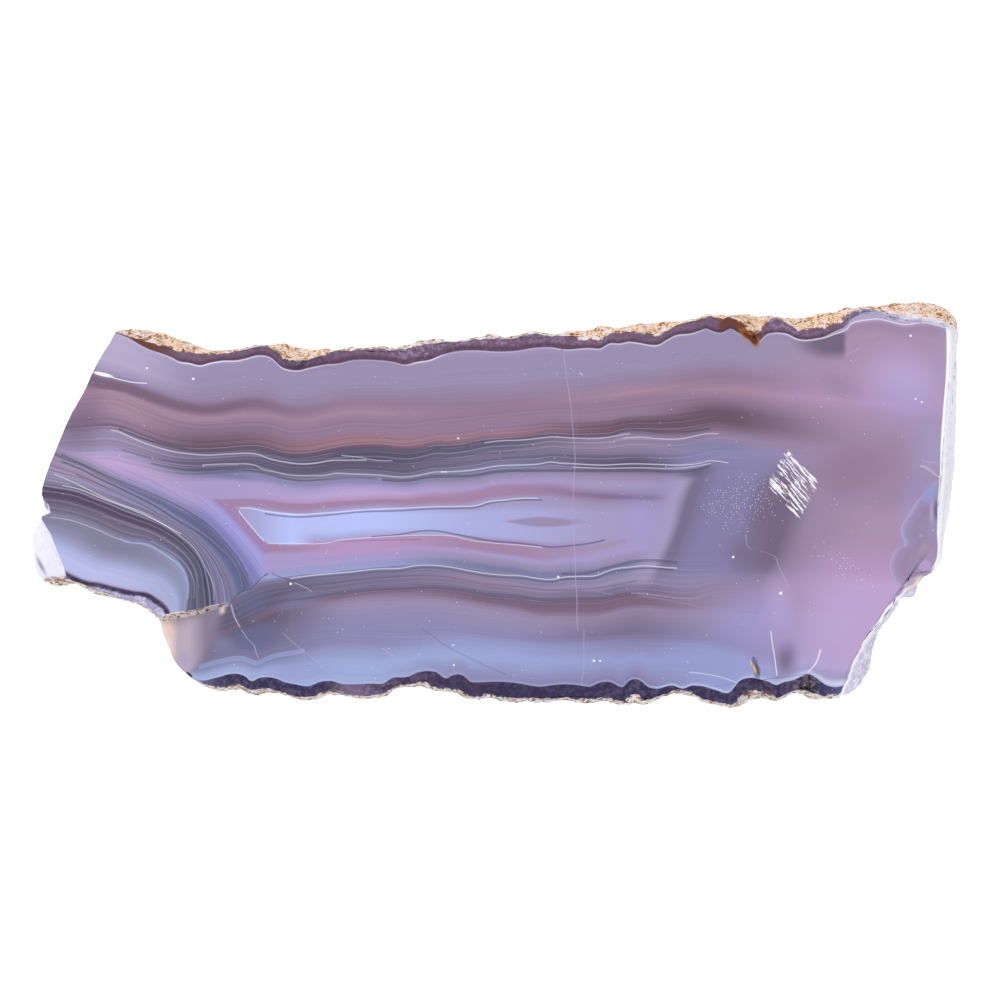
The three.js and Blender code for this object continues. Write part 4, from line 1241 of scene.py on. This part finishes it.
flat_place = add("ShaderNodeCombineXYZ")
feed(flat_place.inputs[0], across)
feed(flat_place.inputs[1], up)
chip_share = 0.0
for centre, radius, strength in (
    ((47.0, 8.1), 0.3, 1.0), ((45.7, -14.2), 0.25, 0.9), ((38.1, -8.4), 0.2, 0.9),
    ((15.8, -25.0), 0.2, 0.9), ((16.8, -25.0), 0.18, 0.8), ((-6.6, -25.7), 0.18, 0.7),
    ((-6.7, -22.5), 0.15, 0.6), ((10.1, -11.6), 0.2, 0.8), ((-32.7, -12.7), 0.2, 0.9),
    ((-48.3, 20.1), 0.22, 0.8), ((-55.7, 21.8), 0.18, 0.8), ((66.5, 27.0), 0.2, 0.8),
    ((67.3, 16.9), 0.18, 0.7), ((68.3, 16.4), 0.18, 0.7), ((68.1, -5.0), 0.22, 0.8),
    ((70.1, -4.1), 0.2, 0.8), ((-5.9, 10.6), 0.18, 0.7),
):
    away = add("ShaderNodeVectorMath", operation="DISTANCE")
    feed(away.inputs[0], flat_place.outputs[0])
    away.inputs[1].default_value = (*centre, 0)
    here = calc("LESS_THAN", away.outputs["Value"], radius)
    chip_share = calc("MULTIPLY_ADD", here, strength, chip_share)
grain_place = framed((0.0, 0.0), (1.0, 1.0), 0.0)
grain_place.node.inputs["Scale"].default_value = (MM, MM, MM)
pits = add("ShaderNodeTexVoronoi", voronoi_dimensions="2D")
pits.inputs["Scale"].default_value = PITS_PER_MM
feed(pits.inputs["Vector"], grain_place)
pit_parts = add("ShaderNodeSeparateColor")
feed(pit_parts.inputs[0], pits.outputs["Color"])
pit_size = calc("MULTIPLY", pit_parts.outputs[0], PIT_SIZE)
frosting = calc("MAXIMUM", spot_share((40.0, 0.7), (9.92, 5.76), 18, 0.3),
                spot_share((56.0, -9.8), (9.92, 1.92), -38, 0.2))
pit_count = calc("MULTIPLY_ADD", frosting, PITS_IN_FROST, PITS_EVERYWHERE)
pit_share = calc("MULTIPLY", calc("LESS_THAN", pits.outputs["Distance"], pit_size),
                 calc("LESS_THAN", pit_parts.outputs[1], pit_count))
banding = mix(calc("MULTIPLY_ADD", pit_share, 0.6, chip_share), banding, tone("glass"))

# The rims: under the stone's skin lies a dark band, edged with a thin white line on its inner
# side. Outside it is rough crust, gold in places, and the crust is all there is on the walls.
LINE_INSET = 0.08
LINE_CORE = 0.03

wall_faces = slab.data.attributes.new("on_wall", "FLOAT", "FACE")
wall_faces.data.foreach_set("value", [float(face.use_smooth) for face in slab.data.polygons])
on_wall = add("ShaderNodeAttribute", attribute_name="on_wall").outputs["Fac"]


def outline(pick, start, stop, reach=0.6, step=0.8):
    """The slab's top or bottom outline seen from above, as points read off its mesh: which of the
    heights near a point to pick, and the stretch to read it over, in millimetres across."""
    corners = [(v.co.x / MM, v.co.y / MM) for v in slab.data.vertices]
    points = []
    spot = start
    while spot <= stop:
        points.append((spot, pick(y for x, y in corners if abs(x - spot) < reach)))
        spot += step
    return points


ripple = noise(grain_place, 0.8, 3.0, 0.6)
crumbs = noise(grain_place, 1.25, 5.0, 0.72)
jitter = calc("MULTIPLY_ADD", ripple, 1.6, -0.8)
gold_crust = by_number(crumbs, [
    (0.3, "soot"), (0.38, "rust"), (0.44, "gold"), (0.5, "cream"), (0.53, "white"), (0.56, "gold"),
    (0.62, "gold"), (0.7, "rust"),
])
pale_crust = by_number(crumbs, [
    (0.32, "soot"), (0.4, "rust"), (0.45, "tan"), (0.5, "cream"), (0.55, "white"), (0.62, "tan"),
    (0.7, "murk"),
])
gold_share = plot_share(width_axis, [
    (-63.2, 0.6), (-58.7, 0.5), (-55.2, 0.6), (-53.6, 1), (-45.6, 1), (-43.7, 0.1), (-37.0, 0.1),
    (-35.4, 1), (-26.4, 1), (-24.0, 0.1), (-20.3, 0.1), (-19.2, 0.8), (-17.5, 0.1), (10.4, 0.1),
    (12.8, 0.9), (29.6, 1), (32.8, 0.5), (36.0, 1), (43.2, 1), (44.8, 0.3), (47.2, 1), (55.5, 1),
    (56.8, 0.5), (59.2, 0.4), (62.4, 0.9), (72.8, 1),
], "VECTOR")
above_middle = ease(up, -2.0, 2.0)
crust = mix(calc("MULTIPLY", gold_share, above_middle), pale_crust, gold_crust)
# White patches over the crust: partly its own pale grains and partly painted highlights on them.
crust = mix(ease(ripple, 0.55, 0.62, 0.0, 0.65), crust, tone("white"))
crust = mix(ease(ripple, 0.42, 0.37, 0.0, 0.7), crust, tone("rust"))
mottle = ease(calc("ADD", crumbs, calc("MULTIPLY_ADD", ripple, 0.5, -0.25)), 0.44, 0.62)
deep_wall = calc("MULTIPLY", on_wall, ease(calc("MULTIPLY_ADD", jitter, 1.6, depth), 0.7, 1.2))


def rim(colour, outward, from_outline, line, body, dark_reach, crust_reach, inside=None):
    """A dark rim with its white line, and crust over its outer part, where inside is 1. A line is
    its share, half its width in millimetres and its tone, and the reaches are in millimetres."""
    share, half, name = line
    from_line = calc("ABSOLUTE", calc("ADD", outward, LINE_INSET))
    line_share = calc("MULTIPLY", ease(from_line, LINE_CORE, half, 1.0, 0.0), share)
    band = ease(outward, -0.02, 0.14)
    if inside is not None:
        line_share = calc("MULTIPLY", line_share, inside)
        band = calc("MULTIPLY", band, inside)
    colour = mix(line_share, colour, tone(name))
    colour = mix(band, colour, body)
    from_crust = calc("SUBTRACT", calc("ADD", from_outline, jitter), crust_reach)
    skin_share = ease(from_crust, -0.1, 0.1, 1.0, 0.0)
    past_dark = ease(calc("SUBTRACT", calc("ADD", outward, jitter), dark_reach), -0.08, 0.2)
    skin_share = calc("MAXIMUM", calc("MAXIMUM", skin_share, past_dark), deep_wall)
    return mix(calc("MULTIPLY", skin_share, band), colour, crust)


top_body = mix(mottle, along_width([
    (-60.3, "smoke"), (-58.4, "bark"), (-55.2, "bark"), (-49.5, "plum"), (-36.0, "plum"),
    (-31.2, "coal"), (-24.0, "plum"), (-12.0, "plum"), (16.8, "plum"), (35.2, "plum"),
    (36.3, "bark"), (41.6, "bark"), (44.0, "plum"), (54.9, "plum"), (60.8, "violet"),
    (64.0, "haze"), (65.7, "white"),
]), along_width([
    (-60.0, "tan"), (-57.6, "bark"), (-53.6, "bark"), (-50.4, "smoke"), (-24.8, "smoke"),
    (-12.0, "heather"), (35.2, "smoke"), (36.8, "bark"), (41.6, "rust"), (44.0, "heather"),
    (54.9, "smoke"), (57.6, "heather"), (60.0, "bloom"), (63.2, "mist"),
]))
top_line_share = plot_share(width_axis, [
    (-63.2, 0.1), (-52.8, 0.2), (-51.1, 0.6), (-48.8, 0.8), (-44.8, 0.8), (-37.3, 0.55),
    (-36.3, 0.35), (-33.6, 0.6), (-29.6, 0.45), (-25.6, 0.35), (-24.0, 0.2), (-14.4, 0.2),
    (-13.3, 0.7), (-8.8, 0.7), (-7.9, 0.2), (8.0, 0.2), (10.4, 0.35), (24.0, 0.6), (31.2, 0.5),
    (32.8, 0.35), (36.0, 0.2), (42.4, 0.2), (44.8, 0.35), (47.2, 0.6), (54.4, 0.8), (72.8, 0.7),
], "VECTOR")
top_dark_reach = plot_share(width_axis, [
    (-63.2, 1.2), (-55.2, 1.3), (-51.7, 1.5), (-48.8, 1.8), (-45.6, 1.8), (-43.7, 3.5),
    (-37.0, 3.5), (-35.2, 1.6), (-27.2, 1.5), (-24.8, 3.5), (10.4, 3.5), (13.6, 1.5), (29.6, 1.6),
    (32.8, 3), (36.0, 2.2), (40.0, 1.6), (43.2, 1.6), (44.8, 3), (47.2, 1.5), (55.5, 1.5),
    (56.8, 2.6), (64.8, 2.6), (66.4, 2.4), (72.8, 2.6),
], "VECTOR")
top_crust_reach = plot_share(width_axis, [
    (-63.2, 0.5), (-55.2, 0.55), (-52.3, 0.8), (-45.6, 0.9), (-43.7, 0.25), (-37.0, 0.25),
    (-35.2, 1.1), (-27.2, 1), (-24.8, 0.25), (10.4, 0.25), (13.6, 0.9), (29.6, 0.9), (32.8, 0.5),
    (35.0, 0.3), (40.0, 0.25), (42.4, 0.6), (44.3, 0.4), (47.2, 0.9), (55.5, 0.9), (58.4, 0.35),
    (62.4, 0.8), (72.8, 0.8),
], "VECTOR")
top_outline = plot(width_axis, outline(max, -58.0, 73.0), height_axis, "VECTOR")
low_outline = plot(width_axis, outline(min, -73.0, 58.0), height_axis, "VECTOR")
place_y = calc("MULTIPLY", apart.outputs["Y"], 1 / MM)
under_skin = calc("SUBTRACT", top_outline, place_y)
deep_share = ease(calc("MULTIPLY_ADD", jitter, 0.4, top.inward(0)), -0.9, -0.25, 0.0, 0.75)
deep_share = calc("MULTIPLY", deep_share, ease(across, -52.8, -48.8))
top_body = mix(calc("MULTIPLY", deep_share, ease(across, 54.9, 56.8, 1.0, 0.3)), top_body, tone("damson"))
lowered = calc("MULTIPLY", ease(across, -27.2, -24.0, 0.0, 0.28), ease(across, 10.4, 15.2, 1.0, 0.0))
banding = rim(banding, calc("SUBTRACT", lowered, top.inward(0)), under_skin,
              (top_line_share, 0.2, "quartz"), top_body, top_dark_reach, top_crust_reach)

# Towards the right end the white line opens into a pale blue band.
pale_band = plot_share(width_axis, [
    (51.2, 0), (53.9, 0.3), (55.5, 0.45), (58.1, 0.7), (60.9, 1), (62.5, 0.9), (64.6, 0.3),
    (66.2, 0.6), (68.3, 0.1), (69.6, 0),
])
outward_top = calc("MULTIPLY", top.inward(0), -1.0)
in_band = calc("MULTIPLY", ease(outward_top, -0.1, 0.05),
               ease(calc("SUBTRACT", calc("MULTIPLY", pale_band, 1.3), outward_top), 0.0, 0.2))
in_band = calc("MULTIPLY", in_band, ease(across, 51.7, 53.6))
banding = mix(calc("MULTIPLY", in_band, 0.9), banding, tone("bloom"))

# The bottom rim, which ends where the flake scar begins, and the lobe's own rim to the left of it.
low_body = mix(calc("MULTIPLY", mottle, 0.6), along_width([
    (-47.2, "violet"), (-43.2, "navy"), (-27.2, "navy"), (-23.2, "murk"), (-17.6, "coal"),
    (-3.2, "coal"), (0.8, "navy"), (23.2, "navy"), (48.5, "navy"), (50.1, "soot"), (52.0, "navy"),
    (56.8, "violet"),
]), along_width([
    (-47.2, "slate"), (-27.2, "slate"), (-23.2, "heather"), (-15.2, "murk"), (-2.4, "gloom"),
    (10.4, "gloom"), (23.2, "slate"), (47.2, "slate"), (48.8, "tan"), (52.8, "violet"),
]))
low_line_share = plot_share(width_axis, [
    (-48.8, 0.6), (-39.2, 0.7), (-34.4, 0.4), (-2.4, 0.25), (23.2, 0.4), (27.0, 1), (56.0, 1),
    (79.2, 1),
], "VECTOR")
over_skin = calc("SUBTRACT", place_y, low_outline)
not_lobe = calc("MULTIPLY", calc("SUBTRACT", 1.0, in_lobe), ease(across, -48.5, -46.3))
raised = ease(across, 20.0, 25.6, 0.3, 0.05)
banding = rim(banding, calc("SUBTRACT", raised, low.inward(0)), over_skin,
              (low_line_share, 0.32, "pale_blue"), low_body, 2.6, 0.8, not_lobe)
lobe_outward = calc("MULTIPLY", lobe.inward(0), -1.0)
lobe_body = mix(ease(lobe_outward, 0.05, 0.45), tone("haze"), mix(mottle, tone("coal"), tone("night")))
lobe_body = mix(ease(calc("MULTIPLY_ADD", jitter, 0.3, lobe_outward), 0.8, 1.3),
                lobe_body, mix(mottle, tone("veil"), tone("mist")))
banding = rim(banding, lobe_outward, over_skin, (0.8, 0.2, "bloom"), lobe_body, 2.6, 0.4, in_lobe)

# The flake scar at the lower left: a chip broke out below the lobe, and its floor shows the stone
# fresh and matt, pinkish beige turning to lavender, with a bevel along the break that is painted as lit.
SCAR_LEFT = -53.5
SCAR_WIDTH = 11.0

scar_right = plot(height_axis, upright([
    (-50.4, -29.7), (-47.9, -26.8), (-46.3, -25.2), (-44.7, -23.0), (-43.7, -20.1), (-43.1, -15.9),
]), width_axis)
scar_break = plot(width_axis, [
    (-55.2, -18.2), (-53.6, -17.8), (-51.7, -17.4), (-49.6, -17.1), (-47.7, -16.8), (-45.8, -16.3),
    (-44.0, -15.9), (-42.7, -15.7), (-40.8, -15.3),
], height_axis)
under_break = calc("SUBTRACT", scar_break, up)
in_scar = calc("MULTIPLY", ease(calc("SUBTRACT", scar_right, across), -0.6, 2.2),
               ease(under_break, -0.1, 0.1))
scar_floor = by_number(calc("MULTIPLY_ADD", across, 1 / SCAR_WIDTH, -SCAR_LEFT / SCAR_WIDTH), [
    (0.0, "blush"), (0.11, "blush"), (0.24, "clay"), (0.4, "clay"), (0.65, "loam"), (1.0, "loam"),
])
banding = mix(in_scar, banding, scar_floor)


def spotted(colour, spots):
    """Small spots, each with its tone and how strong it is, and then its centre, half its length
    and width, its turn and how sharply it ends."""
    for name, strength, *spot in spots:
        share = calc("MULTIPLY", spot_share(*spot), strength)
        colour = mix(share, colour, tone(name))
    return colour


# The cream spot is a painted highlight on the bevel at the break. The tan spot along the break is partly
# the break's own colour and partly painted light.
banding = spotted(banding, (
    ("gold", 0.3, (-52.3, -20.7), (0.42, 1.44), 14, 0.2),
    ("cream", 0.7, (-43.7, -16.9), (0.80, 1.12), -18, 0.0),
    ("tan", 0.6, (-47.5, -17.4), (3.52, 0.96), 14, 0.0),
    ("veil", 0.6, (-49.5, -24.9), (2.56, 2.24), 0, 0.0),
    ("soot", 1.0, (-49.0, -27.3), (0.80, 0.42), -38, 0.6),
))
lip = calc("MULTIPLY", ease(under_break, 0.75, 0.4), ease(under_break, -0.12, 0.0))
lip = calc("MULTIPLY", lip, ease(across, -54.6, -53.6))
lip = calc("MULTIPLY", lip, ease(across, -49.5, -42.4, 1.0, 0.35))
banding = mix(calc("MULTIPLY", lip, ease(across, -42.7, -42.4, 1.0, 0.0)), banding, crust)

# The iron stain that hangs from the top rim.
stain = calc("ADD", spot_share((40.3, 27.1), (2.40, 1.12), -38, 0.0),
             spot_share((41.6, 26.2), (1.12, 1.76), 10, 0.0))
banding = mix(ease(stain, 0.0, 0.7, 0.0, 0.85), banding, tone("amber"))
banding = mix(ease(stain, 0.35, 1.0, 0.0, 0.95), banding, tone("umber_brown"))

# A scalloped growth at the right end: pale along its edge, greyer inside, blue at its top.
scallop = plot(height_axis, upright([
    (71.3, 4.4), (69.9, 3.1), (69.1, 2.2), (67.2, 0.4), (66.1, -1.4), (64.9, -3.3), (64.8, -4.9),
    (65.3, -6.0), (65.1, -6.6), (64.1, -7.1), (63.2, -8.6), (62.9, -10.2), (63.5, -11.8),
    (64.6, -13.2),
]), width_axis)
in_scallop = calc("SUBTRACT", across, scallop)
growth = by_number(calc("MULTIPLY", in_scallop, 0.2), [
    (0.0, "haze"), (0.06, "bloom"), (0.12, "veil"), (0.22, "haze"), (0.5, "heather"), (1.0, "haze"),
])
growth_share = calc("MULTIPLY", ease(in_scallop, -0.05, 0.15), ease(up, -13.4, -12.1))
growth_share = calc("MULTIPLY", growth_share, ease(up, 3.6, 5.2, 0.8, 0.0))
banding = mix(growth_share, banding, growth)
banding = spotted(banding, (
    ("horizon", 0.9, (69.6, 1.7), (1.92, 2.88), -25, 0.1),
    ("bloom", 0.7, (69.9, -1.2), (0.64, 2.88), 0, 0.1),
    ("violet", 0.9, (70.7, -1.0), (0.80, 2.24), 0, 0.3),
    ("pink", 0.8, (69.1, -7.8), (1.92, 2.88), 0, 0.1),
    ("tan", 0.5, (68.8, -7.0), (0.64, 1.44), 30, 0.1),
    ("petal", 0.7, (68.8, -9.8), (1.44, 1.12), 0, 0.5),
    ("bloom", 0.8, (69.6, 5.5), (1.92, 0.48), -36, 0.2),
    ("bloom", 0.5, (69.4, 6.8), (2.08, 0.32), -6, 0.2),
))

# The broken ends: a frosted strip and a bevel down the right, and a white glassy facet at the left.
# Their near white is partly the broken quartz's own frosting and partly painted light: a painted
# reflection of the bright surroundings on the strip and the facet, and painted light shining
# through the bevel.
CRACK_HALF = 0.12

right_face = plot(height_axis, upright([
    (72.1, 28.6), (72.2, 26.3), (72.1, 20.9), (71.7, 15.8), (71.3, 10.3), (71.1, 4.2), (70.8, 0.7),
    (70.7, -3.6), (70.5, -8.9), (69.6, -10.5),
]), width_axis)
past_face = calc("SUBTRACT", across, right_face)
# The strip's quartz, glass and white: pale frosted quartz made brighter by a painted reflection of the
# bright surroundings.
strip_glare_colour = by_number(calc("MULTIPLY_ADD", past_face, 0.4, 0.05), [
    (0.0, "quartz"), (0.1, "glass"), (0.4, "glass"), (0.5, "quartz"), (0.7, "white"),
    (1.0, "white"),
])
strip_share = calc("MULTIPLY", ease(past_face, -0.03, 0.08), ease(up, -10.8, -9.5))
strip_share = calc("MULTIPLY", strip_share, ease(up, 27.6, 29.2, 1.0, 0.0))
banding = mix(strip_share, banding, strip_glare_colour)
outer_crack = plot(height_axis, upright([
    (73.9, 23.1), (73.4, 16.7), (73.0, 10.0), (72.6, 2.8), (71.9, -2.2), (71.6, -7.1),
    (70.9, -10.0),
]), width_axis)
crack_share = calc("COMPARE", across, outer_crack, CRACK_HALF)
crack_share = calc("MULTIPLY", calc("MULTIPLY", crack_share, mottle), ease(up, 13.5, 11.1, 0.8, 0.2))
banding = mix(calc("MULTIPLY", crack_share, strip_share), banding, tone("dusk"))
bevel_edge = plot(height_axis, upright([
    (68.9, -10.5), (68.0, -11.3), (65.6, -13.5), (64.1, -15.0), (62.5, -16.7), (61.3, -18.5),
    (60.0, -20.2), (58.5, -22.8), (57.3, -25.2), (56.5, -27.4), (55.7, -29.2), (54.9, -31.3),
]), width_axis)
past_bevel = calc("SUBTRACT", across, calc("MULTIPLY_ADD", jitter, 0.35, bevel_edge))
bevel_share = calc("MULTIPLY", ease(past_bevel, -0.06, 0.1), ease(up, -10.8, -11.8, 0.0, 1.0))
# The bevel's glass, mist and white: painted light shining through the thin broken edge, over its own pale
# colour.
bevel_backlit_tone = mix(ease(past_bevel, 0.3, 0.7), tone("glass"), mix(mottle, tone("mist"), tone("white")))
banding = mix(calc("MULTIPLY", bevel_share, ease(across, 54.4, 55.5)), banding, bevel_backlit_tone)
facet_edge = plot(height_axis, upright([
    (-73.5, 1.7), (-72.5, 1.2), (-71.4, -0.1), (-71.1, -1.4), (-72.3, -1.8), (-72.7, -2.0),
    (-71.9, -3.4), (-71.1, -4.7), (-70.1, -7.3), (-69.0, -10.0), (-68.5, -11.8), (-69.6, -12.7),
]), width_axis, "VECTOR")
in_facet = ease(calc("SUBTRACT", facet_edge, across), -0.05, 0.1)
in_facet = calc("MULTIPLY", in_facet, ease(calc("MULTIPLY_ADD", across, 0.12, up), -19.9, -19.4))
# The facet's white and quartz are a painted reflection of the bright surroundings in the glassy break. The
# two haze spots on it are painted shade, one along its lower left edge and one on its top flake.
facet_glare_and_shade = mix(mottle, tone("white"), tone("quartz"))
facet_glare_and_shade = mix(spot_share((-73.1, -9.8), (2.72, 0.64), -61, 0.0), facet_glare_and_shade, tone("haze"))
facet_glare_and_shade = mix(spot_share((-72.0, -0.1), (0.48, 1.44), 30, 0.2), facet_glare_and_shade, tone("haze"))
banding = mix(calc("MULTIPLY", in_facet, ease(up, 1.0, 1.7, 1.0, 0.0)), banding, facet_glare_and_shade)

# Small marks: a fissure and little vugs at the bottom right, rust on the skin, and the pink and cream
# corner at the right.
banding = spotted(banding, (
    ("bark", 0.9, (41.7, -26.3), (1.92, 0.74), -70, 0.3),
    ("cream", 0.9, (41.4, -26.2), (1.76, 0.51), -70, 0.2),
    ("bark", 0.9, (40.5, -30.3), (1.28, 0.72), 10, 0.2),
    ("bark", 0.9, (43.8, -30.0), (0.96, 0.45), -10, 0.2),
    ("soot", 0.9, (49.7, -29.4), (1.12, 0.64), -20, 0.3),
    ("rust", 0.6, (10.7, 25.4), (0.26, 1.60), 0, 0.0),
    ("rust", 0.7, (-69.6, -12.2), (2.56, 0.56), -14, 0.0),
    ("cream", 0.8, (-68.0, -12.9), (2.88, 0.40), -14, 0.0),
    ("cream", 0.85, (67.2, -12.6), (2.56, 1.12), 28, 0.4),
    ("petal", 0.8, (66.7, -12.4), (1.76, 0.80), 28, 0.3),
))

# The surface: the sawn faces are polished, the scar is matt and the crust is rough and granular.
POLISH_ROUGH = 0.28
SCAR_ROUGH = 0.25
CRUST_MATT = 0.5
CRUMB_DEPTH = 0.25 * MM

rough_crust = calc("MULTIPLY", on_wall, CRUST_MATT)
roughness = calc("ADD", calc("MULTIPLY_ADD", in_scar, SCAR_ROUGH, POLISH_ROUGH), rough_crust)
relief = add("ShaderNodeBump")
relief.inputs["Distance"].default_value = CRUMB_DEPTH
feed(relief.inputs["Strength"], calc("MULTIPLY", calc("MULTIPLY", on_wall, 0.9),
                                     calc("MULTIPLY_ADD", in_scar, -0.85, 1.0)))
feed(relief.inputs["Height"], crumbs)
bsdf = add("ShaderNodeBsdfPrincipled")
feed(bsdf.inputs["Base Color"], banding)
feed(bsdf.inputs["Roughness"], roughness)
feed(bsdf.inputs["Normal"], relief.outputs[0])
surface = add("ShaderNodeOutputMaterial")
feed(surface.inputs["Surface"], bsdf.outputs[0])
slab.data.materials.append(agate)

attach(slab, "root")
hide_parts("agate_slab")
